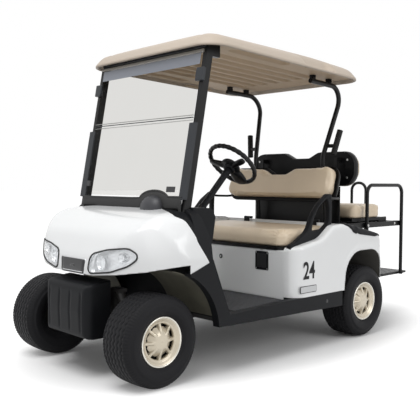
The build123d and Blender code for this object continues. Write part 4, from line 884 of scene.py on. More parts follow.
strip_grey = finish("fold_strip_grey", (0.36, 0.36, 0.345), 0.3, 0.05, 120, 0.05, 0.0003)
paint(acrylic, "windshield_lower", "windshield_upper")
paint(channel_dark, "windshield_channels")
paint(tube_black, "front_roof_struts")


def on_glass(ahead, across, up):
    """A place in the leaning frame of the windshield."""
    return GLASS_FOOT + AHEAD_OF_GLASS * ahead + ACROSS * across + UP_GLASS * up


def softened_edges(thing, width, segments, **settings):
    """Rounds a piece's edges a little."""
    bevel = thing.modifiers.new("soft edges", "BEVEL")
    bevel.width = width
    bevel.segments = segments
    for key, value in settings.items():
        setattr(bevel, key, value)


glass_bars = (  # name, across, up, ahead, material, softness
    ("windshield_band", (-0.438, 0.438), (0.722, 0.784), (0.0268, 0.0285), tint_band, 0.0015),
    ("header_rail", (-0.455, 0.455), (0.787, 0.801), (0.012, 0.034), rail_grey, 0.0015),
    # A black strip set behind the gap between the two header rails: painted shade in that gap.
    ("header_gap_painted_shade", (-0.455, 0.455), (0.803, 0.822), (-0.004, 0.012), gasket_rubber, 0.0015),
    ("header_rail_upper", (-0.455, 0.455), (0.812, 0.824), (0.014, 0.03), channel_dark, 0.0015),
    ("fold_strip_0", (-0.441, 0.441), (0.4495, 0.4525), (0.0205, 0.0285), strip_grey, 0.0006),
    ("fold_strip_1", (-0.441, 0.441), (0.4365, 0.4395), (0.0205, 0.0285), strip_grey, 0.0006),
    ("fold_strip_2", (-0.441, 0.441), (0.4235, 0.4255), (0.0205, 0.0285), strip_grey, 0.0006),
    ("glass_plate", (0.315, 0.385), (0.045, 0.075), (0.0265, 0.0295), plate_black, 0.0015),
    ("glass_clip_left", (0.428, 0.484), (0.63, 0.70), (0.019, 0.04), channel_dark, 0.004),
    ("glass_clip_right", (-0.484, -0.428), (0.63, 0.70), (0.019, 0.04), channel_dark, 0.004),
    ("glass_stop", (-0.436, -0.398), (0.072, 0.105), (0.0265, 0.034), plate_black, 0.003),
)
BAR_FACES = [(0, 1, 3, 2), (4, 6, 7, 5), (0, 4, 5, 1), (2, 3, 7, 6), (0, 2, 6, 4), (1, 5, 7, 3)]
for name, across, up, ahead, surface, softness in glass_bars:
    mesh = bpy.data.meshes.new(name)
    mesh.from_pydata([on_glass(c, a, b) for a in across for b in up for c in ahead], [], BAR_FACES)
    softened_edges(piece(name, mesh, surface, "windshield_channels"), softness, 3)
hood_edge = cowl_points[(cowl_points[:, 0] > front(-0.2)) & (cowl_points[:, 0] < front(-0.175))]
rows = []
foot_line = []
for y in np.linspace(-0.452, 0.452, 100):
    over = max(0.0, 1 - ((y - COVER_MIDDLE) / 0.122) ** 2) ** 0.5
    near = hood_edge[np.argsort(np.abs(hood_edge[:, 1] - y))[:6]]
    top = on_glass(0.031, y, max(0.008 + 0.012 * float(ease(0.0, 0.4, y)), 0.052 * over))
    low = Vector((front(-0.194), y, float(near[:, 2].max()) - 0.003))
    rows.append([low.lerp(top, share) + Vector((0.004 * math.sin(math.pi * share), 0, 0))
                 for share in np.linspace(0, 1, 6)])
    foot_line.append(top)
walled(piece("windshield_foot", grid_mesh(rows), gasket_rubber, "windshield_channels"), 0.003)
bead("windshield_foot_lip", foot_line, 0.006, gasket_rubber, "windshield_channels", closed=False)

# ------------------------------
# Struts and grips. Bent steel tube, powder coated black, under the roof's rear and in
# sleeves on the deck; ribbed rubber grips stand beside them for the rear riders.
GRIP_RADIUS = 0.0190
GRIP_SIDES = 32
grip_black = finish("grip_black_rubber", (0.007, 0.007, 0.007), 0.6, 0.1, 300, 0.3, 0.0005,
                    Specular_IOR_Level=0.25)
paint(tube_black, "rear_roof_struts")
for side, tag in SIDES:
    low = Vector((rear(0.072), side * 0.372, 1.185))
    high = Vector((rear(0.042), side * 0.404, 1.35))
    along = (high - low).normalized()
    out = along.cross(ACROSS).normalized()
    over = along.cross(out)
    rows = [[low] * GRIP_SIDES]
    for n, share in enumerate(np.linspace(0, 1, 60)):
        radius = 0.011 if share in (0.0, 1.0) else GRIP_RADIUS + (0.001 if n % 3 else -0.0006)
        rows.append([low.lerp(high, share) + (out * math.cos(t) + over * math.sin(t)) * radius
                     for t in full_turn(GRIP_SIDES)])
    rows.append([high] * GRIP_SIDES)
    piece(f"hand_grip_{tag}", grid_mesh(rows, close_columns=True), grip_black, "strut_grips", True)
    link = [Vector((rear(0.072), side * 0.318, 1.245)), low.lerp(high, 0.36)]
    bead(f"grip_link_{tag}", link, 0.013, tube_black, "strut_grips", closed=False)

# ------------------------------
# Roof. One sand-coloured moulding with a low crown, a bevelled edge, a rain groove along each
# side and a hand-hold at each rear side; a ribbed liner below it takes the struts' bolts.
roof_sand = finish("roof_sand_plastic", (0.455, 0.385, 0.315), 0.5, 0.02, 260, 0.08, 0.0005)
# The liner and the hand-holds get a lighter sand than the top: painted light that lifts the shade under the
# roof and in the hollows.
underside_sand_painted_light = finish("roof_liner_sand_painted_light", (0.56, 0.43, 0.30), 0.6, 0.03, 260, 0.1, 0.0005)
roof_low, roof_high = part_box("roof")
ROOF_CORNER = 0.13
ROOF_MIDDLE = (roof_low.x + roof_high.x) / 2
ROOF_HALF_LENGTH = (roof_high.x - roof_low.x) / 2 - 0.0005
ROOF_HALF_WIDTH = roof_high.y - 0.0005
FRONT_LIP = 1.700
REAR_LIP = 1.652
CROWN_LINE = (  # x, height along the roof's middle
    (roof_low.x, 1.690), (roof_low.x + 0.06, 1.735), (roof_low.x + 0.42, 1.783),
    (roof_high.x - 0.33, 1.8025), (roof_high.x - 0.05, 1.788), (roof_high.x, 1.765),
)
BEVEL = 0.056
BLUNT = 0.006
GROOVE_Y = 0.395
RAIN_GROOVE = 0.010
HOLD_FRONT = 0.045
HOLD_REAR = -0.225
HOLD_MIDDLE = (HOLD_FRONT + HOLD_REAR) / 2
HOLD_DEPTH = 0.048
BAND = 0.03  # how far in the rim reaches under the crown's edge


def roof_lip(x):
    """Height of the roof's lower edge, which falls to the rear."""
    return FRONT_LIP - (FRONT_LIP - REAR_LIP) * (roof_high.x - x) / (roof_high.x - roof_low.x)


def from_edge(x, y):
    """How far inside the roof's rounded outline a place is."""
    over = abs(x - ROOF_MIDDLE) - ROOF_HALF_LENGTH + ROOF_CORNER
    wide = abs(y) - ROOF_HALF_WIDTH + ROOF_CORNER
    return ROOF_CORNER - math.hypot(max(over, 0), max(wide, 0)) - min(max(over, wide), 0)


def roof_top(x, y):
    """Height of the roof's upper face."""
    inside = max(from_edge(x, y), 0)
    in_hold = ease(HOLD_REAR - 0.02, HOLD_REAR + 0.012, x) * ease(HOLD_FRONT + 0.02, HOLD_FRONT - 0.012, x)
    if abs(y) > 0.44:
        inside = max(0, inside - HOLD_DEPTH * float(in_hold) * (1 - float(ease(0.06, 0.11, inside))))
    bevel = 0.012 + BEVEL * (1 - (1 - min(inside, BEVEL) / BEVEL) ** 1.35)
    rim = roof_lip(x) + bevel + max(0, inside - BEVEL) * 0.55
    ahead = float(np.interp(x, *zip(*CROWN_LINE)))
    across = 1.805 - 0.034 * (abs(y) / 0.5) ** 2.2
    level = -BLUNT * math.log(sum(math.exp(-h / BLUNT) for h in (rim, ahead, across)))
    groove = math.exp(-(((abs(y) - GROOVE_Y) / 0.014) ** 4)) * float(ease(0.015, 0.06, from_edge(x, y)))
    return level - RAIN_GROOVE * groove


def inward(x, y, distance):
    """A place moved in from the roof's edge, square to it."""
    step = 0.001
    slope = Vector((from_edge(x + step, y) - from_edge(x - step, y),
                    from_edge(x, y + step) - from_edge(x, y - step)))
    slope = slope.normalized() if slope.length > 1e-9 else Vector((0, 0))
    return x + slope.x * distance, y + slope.y * distance


def sheet_mesh(xs, ys, margin, height, order):
    """A mesh over the roof's outline, as far in as the margin, with heights from a function."""
    mesh = bpy.data.meshes.new("sheet")
    shape = bmesh.new()
    spots = {}
    for i, x in enumerate(xs):
        for j, y in enumerate(ys):
            if from_edge(x, y) > margin:
                spots[i, j] = shape.verts.new((x, y, height(x, y)))
    for i, j in list(spots):
        corners = [(i + a, j + b) for a, b in order]
        if all(c in spots for c in corners):
            shape.faces.new([spots[c] for c in corners])
    shape.to_mesh(mesh)
    shape.free()
    return shade_smooth(mesh)


def liner_height(x, y):
    """Height of the liner's lower face, with its channels and the vent's slots."""
    rise = 0.0
    for middle, rear_end, front_end in channels:
        beyond = max(0.0, rear_end - x, x - front_end)
        rise += 0.026 * float(ease(0.036, 0.026, math.hypot(beyond, y - middle)))
    if abs(y) < 0.33 and -0.50 < x < -0.345:
        slots = float(ease(0.012, 0.005, abs((x + 0.36) % 0.034 - 0.017)))
        rise += 0.005 * slots * float(ease(0.33, 0.31, abs(y)))
    return roof_lip(x) + 0.0222 + rise


channels = [(y, -0.305, 0.60) for y in (0, -0.1, 0.1, -0.2, 0.2, -0.3, 0.3)]
channels += [(0.445, 0.13, 0.54), (-0.445, 0.13, 0.54)]  # y, rear end, front end
crown = sheet_mesh(np.linspace(roof_low.x, roof_high.x, 132),
                   np.linspace(-ROOF_HALF_WIDTH, ROOF_HALF_WIDTH, 108),
                   BAND * 0.55, roof_top, ((0, 0), (1, 0), (1, 1), (0, 1)))
piece("roof_crown", crown, roof_sand, "roof", True)
liner = sheet_mesh(np.arange(roof_low.x + 0.02, roof_high.x - 0.02, 0.0075),
                   np.arange(-ROOF_HALF_WIDTH + 0.02, ROOF_HALF_WIDTH - 0.0199, 0.006),
                   0.026, liner_height, ((0, 0), (0, 1), (1, 1), (1, 0)))
piece("roof_liner_ribs", liner, underside_sand_painted_light, "roof_liner", True)
edge = rounded(both_sides([(roof_high.x - 0.0005, ROOF_HALF_WIDTH, ROOF_CORNER),
                           (roof_low.x + 0.0005, ROOF_HALF_WIDTH, ROOF_CORNER)]), 0.06)
fine_edge = []
for (x, y), (x_next, y_next) in zip(edge, edge[1:] + edge[:1]):
    parts = max(1, math.ceil(math.hypot(x_next - x, y_next - y) / 0.012))
    fine_edge += [(x + (x_next - x) * n / parts, y + (y_next - y) * n / parts) for n in range(parts)]
rows = []
for distance in (BAND + 0.012, BAND, 0.024, 0.018, 0.0125, 0.008, 0.0045, 0.002):
    tuck = -0.0004 if distance > 0.0295 else 0
    rows.append([(*inward(x, y, distance), roof_top(*inward(x, y, distance)) + tuck) for x, y in fine_edge])
for distance, rise in ((0.0004, 0.010), (0, 0.006), (0.001, 0.002), (0.004, 0.0003), (0.011, 0.0003),
                       (0.015, 0.003), (0.018, 0.012), (0.022, 0.0205), (0.03, 0.0225)):
    rows.append([(*inward(x, y, distance), roof_lip(x) + rise) for x, y in fine_edge])
piece("roof_rim", grid_mesh(rows, close_columns=True), roof_sand, "roof")


def blunted(value, power):
    """A sine or cosine pushed towards 1 or -1, for a squared-off ring."""
    return math.copysign(abs(value) ** power, value)


for side, tag in SIDES:
    hold_y = side * (ROOF_HALF_WIDTH - 0.030)
    hollow = [(HOLD_MIDDLE + (HOLD_FRONT - HOLD_REAR) / 2 * 0.93 * blunted(math.cos(t), 0.4),
               hold_y + side * 0.012 * blunted(math.sin(t), 0.5)) for t in full_turn(48)]
    rows = [[(x, y, roof_top(x, y) + 0.0008) for x, y in hollow],
            [(x, y, roof_lip(x) + 0.004) for x, y in hollow],
            [((HOLD_MIDDLE + x) / 2, hold_y, roof_lip(x) + 0.004) for x, y in hollow]]
    # The hollow's walls take the lighter sand, painted light.
    piece(f"hand_hold_{tag}", grid_mesh(rows, close_columns=True), underside_sand_painted_light, "roof")


def bolt_head(name, place, direction, radius, height, surface, node):
    """A low hexagon head on a washer, square to a direction."""
    facing = Vector(direction).normalized().to_track_quat("Z", "Y").to_matrix()
    rows = []
    for reach, level, hexagon in ((0.001, 0, False), (1.45, 0, False), (1.45, 0.22, False), (1.0, 0.24, True),
                                  (1.0, 0.85, True), (0.85, 1.0, True), (0.001, 1.0, True)):
        row = []
        for t in full_turn(24):
            flat = math.cos(math.pi / 6) / math.cos(t % (math.pi / 3) - math.pi / 6) if hexagon else 1
            out = radius * reach * flat
            spot = Vector((out * math.cos(t), out * math.sin(t), height * level))
            row.append(Vector(place) + facing @ spot)
        rows.append(row)
    piece(name, grid_mesh(rows, close_columns=True, smooth=False), surface, node)


bolt_steel = finish("bolt_zinc", (0.55, 0.55, 0.54), 0.35, 0.06, 300, 0.1, 0.0002, Metallic=0.9)
for side, tag in SIDES:
    for place, x in (("rear", -0.4173), ("front", -0.2473)):
        bolt_head(f"roof_bolt_{place}_{tag}", (x, side * 0.385, roof_lip(x) + 0.012), (0, side, 0),
                  0.006, 0.006, tube_black, "rear_roof_struts")

# ------------------------------
# Rear body. One thin gloss white moulding over the batteries and the rear axle, with round
# corners, flared wheel arches and dark closed wheel wells. It is screwed to the frame and
# sills; a grained black strip laps from the deck over each shoulder.
body_low, body_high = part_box("rear_body")
BODY_HALF = 0.5885
SILL_TOP = 0.3275
SEAT_BOX = 0.60
SEAT_RECESS = 0.4953
RECESS_REAR = rear(0.178)
WELL_WALL = 0.358  # how far out the wheel wells' inner walls are
FLARE = 0.0055
FLARE_WIDTH = 0.040
SHOULDER = ((rear(-0.165), 0.657), (rear(0.105), 0.664), (rear(0.150), 0.736), (rear(0.200), 0.738))
well_black = finish("wheel_well_plastic", (0.022, 0.020, 0.016), 0.75, 0.3, 60, 0.3, 0.001)
body_side = [  # x, z, corner radius
    (body_high.x, 0.617, 0.02),
    (rear(0.468), 0.661, 0.12),
    (rear(0.352), 0.739, 0.08),
    (rear(0.262), 0.743, 0.08),
    (rear(0.150), 0.736, 0.03),
    (rear(0.105), 0.664, 0.03),
    (rear(-0.165), 0.657, 0.05),
    (body_low.x, 0.560, 0.09),
    (body_low.x, 0.25, 0),
    (body_high.x, 0.25, 0),
]
body_plan = both_sides([(body_high.x, BODY_HALF, 0.095), (body_low.x, BODY_HALF, 0.115)])
body = moulded([prism(body_side, "y", -0.6, 0.6), prism(body_plan, "z", 0.2, 0.9)], voxel=0.0095, rounds=16)
for point in body.data.vertices:
    x, y, z = point.co
    lift = float(np.interp(x, *zip(SHOULDER[0], SHOULDER[-1]))) - float(np.interp(x, *zip(*SHOULDER)))
    point.co.z += lift * float(ease(0.487, 0.512, abs(y)) * ease(0.58, 0.65, z))
arch_line = from_axle(REAR_AXLE, [  # ahead of the axle, z, corner radius
    (0.2586, 0.20, 0), (0.2186, 0.5662, 0.17), (-0.1546, 0.5662, 0.13), (-0.2326, 0.20, 0),
])
body_cuts = (  # outline, from y, to y, mark
    (rectangle((RECESS_REAR, 2), (SEAT_BOX, 0.9)), -SEAT_RECESS, SEAT_RECESS, 0),
    (rectangle((RECESS_REAR + 0.045, body_high.x - 0.04), (0.55, 0.65)), -0.44, 0.44, 1),
    (arch_line, WELL_WALL, 0.7, 0),
    (arch_line, -0.7, -WELL_WALL, 0),
    (rectangle((rear(0.1), 2), (0.1, SILL_TOP)), 0.4985, 0.7, 1),
    (rectangle((rear(0.1), 2), (0.1, SILL_TOP)), -0.7, -0.4985, 1),
    (rectangle((rear(-0.05), 2), (0.1, 0.3104)), -0.6, 0.6, 1),
    (rectangle((rear(-0.6), rear(-0.049)), (0.1, 0.362)), -0.7, 0.7, 1),
)
for outline, low_y, high_y, mark in body_cuts:
    combine(body, prism(outline, "y", low_y, high_y, mark))
open_up(body)
arch_spots = np.array(rounded(arch_line, 0.05))
arch_runs = arch_spots[1:] - arch_spots[:-1]


def from_arch(x, z):
    """How far a place on the side is from the wheel arch's edge."""
    away = np.array([x, z]) - arch_spots[:-1]
    share = np.clip((away * arch_runs).sum(axis=1) / (arch_runs * arch_runs).sum(axis=1), 0, 1)
    return float(np.sqrt(((away - arch_runs * share[:, None]) ** 2).sum(axis=1).min()))


for point in body.data.vertices:
    x, y, z = point.co
    if abs(y) > 0.5 and rear(-0.3) < x < rear(0.35):
        reach = from_arch(x, z)
        lift = float(ease(FLARE_WIDTH, 0.012, reach) * ease(0.5, 0.56, abs(y)))
        point.co.y += math.copysign(FLARE * lift * (1 - 0.25 * float(ease(0.02, 0.0, reach))), y)


def in_well(polygon):
    """Whether a face of the body is one of a wheel well's."""
    x, y, z = polygon.center
    if abs(polygon.normal.y) < 0.6:
        return 0.34 < abs(y) < BODY_HALF - 0.010 and from_arch(x, z) < 0.007
    return abs(abs(y) - WELL_WALL) < 0.004 and rear(-0.25) < x < rear(0.27)


well_marks = [in_well(polygon) for polygon in body.data.polygons]
wells = placed("wells", body.data.copy())
drop_faces(body.data, well_marks)
drop_faces(wells.data, [not mark for mark in well_marks])
skin(body, "rear_body_skin", white_paint, "rear_body")
skin(wells, "wheel_wells", well_black, "rear_body")
STRIP_LIFT = 0.0045
STRIP_LINE = (  # x, how far out the strip's bend is, how far it hangs down
    (rear(-0.168), 0.555, 0.004), (rear(-0.10), 0.576, 0.020), (rear(0.12), 0.57424, 0.040),
    (rear(0.15), 0.574, 0.03075), (rear(0.240), 0.528, 0.003),
)
body_tree = BVHTree.FromPolygons([v.co.copy() for v in body.data.vertices],
                                 [tuple(p.vertices) for p in body.data.polygons])


def on_body(start, direction, lift):
    """Where a ray meets the body's skin, lifted off it."""
    hit = body_tree.ray_cast(Vector(start), Vector(direction))
    return hit[0] + hit[1] * lift


for side, tag in SIDES:
    rows = []
    for x in np.linspace(STRIP_LINE[0][0], STRIP_LINE[-1][0], 48):
        bend, hang = (float(np.interp(x, [spot[0] for spot in STRIP_LINE], [spot[k] for spot in STRIP_LINE]))
                      for k in (1, 2))
        row = [on_body((x, side * y, 1.2), (0, 0, -1), STRIP_LIFT) for y in np.linspace(0.505, bend, 12)]
        top = row[-1].z - 0.004
        row += [on_body((x, side * 1.2, top - hang * share), (0, -side, 0), lift)
                for share, lift in ((0.25, STRIP_LIFT), (0.5, STRIP_LIFT), (0.75, STRIP_LIFT), (1, 0.0003))]
        rows.append(row)
    walled(piece(f"deck_edge_{tag}", grid_mesh(rows), grained_black, "bag_deck"), 0.003)


def flat_panel(name, corners, axis, low, high, surface, soft=0.0008):
    """A thin moulded panel on the body with rounded corners and softened edges."""
    shape = prism(corners, axis, low, high)
    mesh = shape.data
    bpy.data.objects.remove(shape)
    softened_edges(piece(name, mesh, surface, "rear_body"), soft, 2, limit_method="ANGLE")


number_black = finish("number_black", (0.006, 0.006, 0.007), 0.5, 0.05, 200, 0.05, 0.0002,
                      Specular_IOR_Level=0.2)
plate_face = finish("plate_pale_face", (0.60, 0.61, 0.62), 0.35, 0.03, 150, 0.05, 0.0002)
frame_line = rectangle((rear(0.683), rear(0.530)), (0.352, 0.394), 0.006)
face_line = rectangle((rear(0.679), rear(0.534)), (0.356, 0.390), 0.004)
for side, tag in SIDES:
    letters = bpy.data.curves.new("number", "FONT")
    letters.body = "24"
    letters.size = 0.142
    letters.offset = 0.0028
    letters.extrude = 0.0006
    letters.align_x = "CENTER"
    source = placed("number", letters)
    mesh = plain_mesh(source)
    bpy.data.objects.remove(source)
    mesh.transform(Matrix(((-side * 0.78, 0, 0, rear(0.600)), (0, 0, side, side * 0.5890), (0, 1, 0, 0.436),
                           (0, 0, 0, 1))))
    piece(f"fleet_number_{tag}", mesh, number_black, "rear_body")
    flat_panel(f"side_plate_frame_{tag}", frame_line, "y", side * 0.587, side * 0.5905, plate_black)
    flat_panel(f"side_plate_face_{tag}", face_line, "y", side * 0.588, side * 0.5913, plate_face, 0.0004)

# ------------------------------
# Fittings on the seat box. A black charger cover with four screws and a latch above it, and
# the round lock for the key. They are screwed to the front panel under the seat; each sill
# has a round plug.
PANEL_FACE = body_high.x
fittings = (  # name, corners, rise off the panel, depth in it, material, softness
    ("charger_cover", rectangle((0.278, 0.382), (0.474, 0.586), 0.008), 0.0032, 0.003, grained_black, 0.0015),
    ("charger_flap", rectangle((0.292, 0.368), (0.488, 0.572), 0.006), 0.0046, 0, plate_black, 0.001),
    ("charger_latch", rectangle((0.318, 0.342), (0.592, 0.600), 0.003), 0.0035, 0.001, bolt_steel, 0.001),
)
for name, corners, rise, depth, surface, softness in fittings:
    flat_panel(name, corners, "x", PANEL_FACE - depth, PANEL_FACE + rise, surface, softness)
panel_heads = (  # name, rise off the panel, y, z, radius, height, material
    ("charger_screw_0", 0.003, 0.286, 0.482, 0.003, 0.0016, bolt_steel),
    ("charger_screw_1", 0.003, 0.286, 0.578, 0.003, 0.0016, bolt_steel),
    ("charger_screw_2", 0.003, 0.374, 0.482, 0.003, 0.0016, bolt_steel),
    ("charger_screw_3", 0.003, 0.374, 0.578, 0.003, 0.0016, bolt_steel),
    ("key_lock_plate", 0, -0.02, 0.527, 0.0105, 0.0026, plate_black),
    ("key_lock", 0.002, -0.02, 0.527, 0.0055, 0.0022, bolt_steel),
)
for name, rise, y, z, radius, height, surface in panel_heads:
    bolt_head(name, (PANEL_FACE + rise, y, z), (1, 0, 0), radius, height, surface, "rear_body")
for side, tag in SIDES:
    bolt_head(f"sill_plug_{tag}", (rear(0.42), side * 0.5878, 0.280), (0, side, 0), 0.0075, 0.0022,
              plate_black, "floor_and_sills")

# ------------------------------
# Seats. Tan vinyl pulled over foam on a board: crowned pads with soft round edges, and small
# folds where a cushion's cover turns the corner.
INSET = 0.007
CLOTH_FRAMES = 20
CLOTH_PRESSURE = 4
PAD_VOXEL = 0.0065
tan_vinyl = finish("seat_tan_vinyl", (0.72, 0.595, 0.44), 0.36, 0.035, 900, 0.12, 0.0005,
                   Coat_Weight=0.12, Coat_Roughness=0.3)
pebbled(tan_vinyl, 420, 0.10, 0.0006)


def stuffed(form, cap, low, high):
    """Swells a closed form under its cover, no point further than the cap, inside a box."""
    before = [v.co.copy() for v in form.data.vertices]
    cloth = form.modifiers.new("cover", "CLOTH")
    cloth.settings.quality = 4
    cloth.settings.use_pressure = True
    cloth.settings.uniform_pressure_force = CLOTH_PRESSURE
    cloth.settings.effector_weights.gravity = 0
    cloth.collision_settings.use_collision = False
    cloth.point_cache.frame_end = CLOTH_FRAMES
    for number in range(1, CLOTH_FRAMES + 1):
        scene.frame_set(number)
    ready = form.evaluated_get(bpy.context.evaluated_depsgraph_get())
    after = [v.co.copy() for v in ready.data.vertices]
    form.modifiers.clear()
    scene.frame_set(1)
    for point, start, stop in zip(form.data.vertices, before, after):
        shift = stop - start
        if shift.length > cap:
            shift *= cap / shift.length
        point.co = start + shift
    for point in form.data.vertices:
        point.co = [min(max(place, floor), top) for place, floor, top in zip(point.co, low, high)]
    change(form, "SMOOTH", factor=0.5, iterations=3)
    return form


def pad(form, name, node, body="chassis"):
    """Makes a stuffed form a vinyl pad that stands for its CAD node."""
    form.name = name
    form.data.materials.clear()
    form.data.materials.append(tan_vinyl)
    shade_smooth(form.data)
    tie(form, node, True, body)


def corner_folds(form, corner, reach, depth):
    """Small radiating folds where the cover turns a corner, on both sides."""
    for side in (1, -1):
        for point in form.data.vertices:
            away = point.co - Vector((corner[0], side * corner[1], corner[2]))
            share = away.length / reach
            if share < 1:
                turn = math.atan2(away.z * 1.4, abs(away.x) + abs(away.y) + 1e-6)
                swirl = 0.5 * depth * math.sin(turn * 16 + 3 * share) * math.sin(share * math.pi) ** 2
                point.co += away.normalized() * swirl
                point.co.z += swirl


low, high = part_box("seat_cushion")
cushion_side = [
    (low.x + INSET, low.z, 0), (low.x + INSET, high.z - INSET, 0.05), (high.x - 0.20, high.z - 0.003, 0.5),
    (high.x - 0.004, high.z - 0.016, 0.045), (high.x - 0.002, low.z, 0.01),
]
cushion_front = [(0.484, 0.5, 0), (0.487, high.z - 0.010, 0.04), (0.0, high.z + 0.004, 2),
                 (-0.487, high.z - 0.010, 0.04), (-0.484, 0.5, 0)]
cushion = moulded(
    [prism(cushion_side, "y", -0.6, 0.6),
     prism(both_sides([(high.x - INSET + 0.004, 0.484, 0.075), (low.x + INSET, 0.484, 0.03)]), "z", 0.5, 0.9),
     prism(cushion_front, "x", -1, 1)], PAD_VOXEL, rounds=16)
stuffed(cushion, 0.010, (low.x - 0.001, -0.4945, low.z + 0.0002), (high.x + 0.004, 0.4945, high.z + 0.006))
corner_folds(cushion, (high.x - 0.05, 0.44, 0.672), 0.085, 0.0035)
pad(cushion, "front_seat_pad", "seat_cushion", "seat_lid")

BACK_LEAN = math.radians(15)
front_back = Matrix((
    (math.cos(BACK_LEAN), 0, -math.sin(BACK_LEAN), rear(0.208)),
    (0, 1, 0, 0),
    (math.sin(BACK_LEAN), 0, math.cos(BACK_LEAN), 0.885),
    (0, 0, 0, 1),
))
rear_back_place = Matrix.Translation((rear(-0.057), 0, 0.98))


def backrest(half, height, corner, low, high, swell):
    """A backrest pad in its own plane, with a dip between the shoulders."""
    outline = both_ways([(0.072, height - 0.040 - swell, 0.05), (0.150, height - swell, 0.065),
                         (half - swell, height - swell, corner), (half - swell, swell, corner)])
    edge = [(low, 0.0, 0.0), (low, height + 0.02, 0.0), (high, height + 0.02, 0.035), (high, -0.002, 0.035)]
    form = moulded([prism(outline, "x", low + 0.0005, high - swell * 0.4), prism(edge, "y", -0.6, 0.6)],
                   PAD_VOXEL, rounds=18)
    return stuffed(form, 0.012, (low - 0.0005, -half - 0.003, -0.004),
                   (high + 0.006, half + 0.003, height + 0.004))


form = backrest(0.466, 0.226, 0.066, -0.0295, 0.042, 0.006)
form.data.transform(front_back)
pad(form, "front_back_pad", "seat_back")
form = backrest(0.45, 0.230, 0.095, 0.0124, 0.094, 0.006)
form.data.transform(rear_back_place @ Matrix.Diagonal((-1, 1, 1, 1)))
form.data.flip_normals()
pad(form, "rear_back_pad", "rear_back")

low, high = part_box("rear_cushion")
pad_side = [(high.x - INSET, low.z, 0), (high.x - INSET, high.z + 0.006, 0.045),
            (low.x + 0.006, high.z + 0.002, 0.05), (low.x + 0.004, low.z, 0.01)]
pad_plan = both_sides([(high.x - INSET, 0.404, 0.05), (low.x + INSET, 0.404, 0.085)])
rear_pad = moulded([prism(pad_side, "y", -0.6, 0.6), prism(pad_plan, "z", 0.5, 0.95)], PAD_VOXEL, rounds=16)
stuffed(rear_pad, 0.010, (low.x - 0.004, -0.412, low.z + 0.0002), (high.x + 0.001, 0.412, high.z + 0.020))
corner_folds(rear_pad, (low.x + 0.06, 0.36, 0.798), 0.07, 0.0025)
pad(rear_pad, "rear_seat_pad", "rear_cushion", "rear_seat_flap")

# ------------------------------
# Seat shells, boards and arms. Grained black mouldings; zinc bolts hold the backrests. The
# swept arms stand on the body's shoulders, and a slim bar runs from each to the seat's back.
shell_black = finish("shell_black_plastic", (0.006, 0.006, 0.0065), 0.4, 0.1, 260, 0.25, 0.0006,
                     Specular_IOR_Level=0.16)
paint(shell_black, "seat_back_shell", "rear_back_shell", "seat_pan", "rear_seat_base")


def shell_rim(name, half, height, corner, near, far, grow, node, place):
    """The turned-in edge of a moulded back, round the pad's sides."""
    ring = rounded(both_ways([(0.070, height - 0.040, 0.045), (0.150, height, 0.06), (half, height, corner),
                              (half, 0, corner)]), 0.08)
    middle = height / 2
    rows = []
    for share, out in ((0, -0.004), (0.06, 0.0), (0.5, grow), (1, grow * 0.8)):
        rows.append([place @ Vector((near + (far - near) * share, y * (1 + out / half),
                                     middle + (z - middle) * (1 + out / middle))) for y, z in ring])
    walled(piece(name, grid_mesh(rows, close_columns=True), shell_black, node), 0.0025)


shell_rim("rear_shell_rim", 0.45, 0.230, 0.095, 0.0005, -0.046, 0.004, "rear_back_shell", rear_back_place)
shell_rim("front_shell_rim", 0.466, 0.226, 0.066, -0.0425, -0.018, 0.0035, "seat_back_shell", front_back)
ARM_INNER = 0.5035
ARM_OUTER = 0.5395
ARM_BAR = (  # ahead of the rear axle, y, z
    (0.345, 0.521, 0.905), (0.27, 0.519, 0.900), (0.19, 0.500, 0.898), (0.153, 0.455, 0.902),
    (0.1535, 0.40, 0.905),
)
arm_outline = from_axle(REAR_AXLE, [  # ahead of the axle, z, corner radius
    (0.716, 0.600, 0), (0.716, 0.632, 0.012), (0.660, 0.652, 0.15), (0.548, 0.712, 0.10),
    (0.508, 0.802, 0.25), (0.432, 0.878, 0.20), (0.352, 0.930, 0.015), (0.310, 0.930, 0.015),
    (0.316, 0.840, 0.30), (0.316, 0.735, 0.05), (0.290, 0.690, 0), (0.450, 0.600, 0),
])
arm_opening = from_axle(REAR_AXLE, [
    (0.364, 0.902, 0.006), (0.446, 0.852, 0.15), (0.494, 0.780, 0.12), (0.514, 0.706, 0.012),
    (0.400, 0.714, 0.03), (0.344, 0.750, 0.04), (0.340, 0.850, 0.12),
])
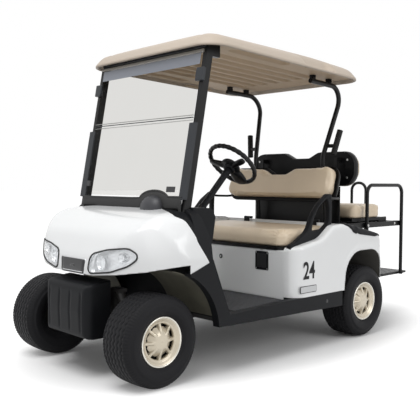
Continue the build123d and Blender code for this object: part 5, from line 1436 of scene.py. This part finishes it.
for side, tag in SIDES:
    for n, (y, z) in enumerate(((0.331, 1.155), (0.331, 1.035), (0.395, 1.155), (0.395, 1.035))):
        bolt_head(f"back_bolt_{n}_{tag}", (rear(-0.0565), side * y, z), (1, 0, 0), 0.0052, 0.004, bolt_steel,
                  "rear_back_shell")
    arm = prism(arm_outline, "y", side * ARM_INNER, side * ARM_OUTER)
    combine(arm, prism(arm_opening, "y", side * 0.48, side * 0.56))
    softened(arm, voxel=0.0055, rounds=5)
    mesh = arm.data
    bpy.data.objects.remove(arm)
    piece(f"seat_arm_{tag}", shade_smooth(mesh), grained_black, "seat_side_arms", True)
    bead(f"back_strap_{tag}", [(rear(ahead), side * y, z) for ahead, y, z in ARM_BAR], 0.0085, tube_black,
         "seat_side_arms", closed=False)
    bolt_head(f"arm_bolt_{tag}", (rear(0.330), side * 0.5385, 0.905), (0, side, 0), 0.0055, 0.004,
              tube_black, "seat_side_arms")

# ------------------------------
# Rear frame, rails and foot plate. Square and round steel tube in gloss black powder coat; a
# pressed tread plate for the feet; zinc bolts through the rails and legs.
paint(tube_black, "rear_seat_frame", "rear_grab_rails", "rear_grab_handle", "foot_plate")
paint(gasket_rubber, "mud_flaps")
PITCH = 0.030
LOZENGE_LONG = 0.0105
LOZENGE_WIDE = 0.0035
LOZENGE_RISE = 0.0016
TREAD_TOP = 0.3419
tread_grey = finish("tread_plate", (0.020, 0.020, 0.021), 0.5, 0.1, 300, 0.25, 0.0005)
tread = bpy.data.meshes.new("tread")
shape = bmesh.new()
for i, x in enumerate(np.arange(rear(-0.770), rear(-0.490), PITCH)):
    for j, y in enumerate(np.arange(-0.395, 0.396, PITCH)):
        slant = math.radians(45 if (i + j) % 2 else -45)
        along = Vector((math.cos(slant), math.sin(slant), 0)) * LOZENGE_LONG
        beside = Vector((-math.sin(slant), math.cos(slant), 0)) * LOZENGE_WIDE
        middle = Vector((x, y, TREAD_TOP))
        reaches = (along, beside, -along, -beside)
        foot = [shape.verts.new(middle + reach) for reach in reaches]
        crest = [shape.verts.new(middle + reach * 0.35 + Vector((0, 0, LOZENGE_RISE))) for reach in reaches]
        shape.faces.new(crest)
        for k in range(4):
            shape.faces.new([foot[k], foot[(k + 1) % 4], crest[(k + 1) % 4], crest[k]])
shape.to_mesh(tread)
shape.free()
piece("foot_plate_tread", tread, tread_grey, "foot_plate")
for side, tag in SIDES:
    for n, (ahead, y) in enumerate(((-0.030, 0.4168), (-0.252, 0.4418), (-0.640, 0.4168))):
        bolt_head(f"rail_bolt_{n}_{tag}", (rear(ahead), side * y, 0.704), (0, side, 0), 0.0065, 0.005,
                  bolt_steel, "rear_seat_frame")
    bolt_head(f"plate_bolt_{tag}", (rear(-0.712), side * 0.4420, 0.334), (0, side, 0), 0.007, 0.005,
              tube_black, "rear_grab_rails")
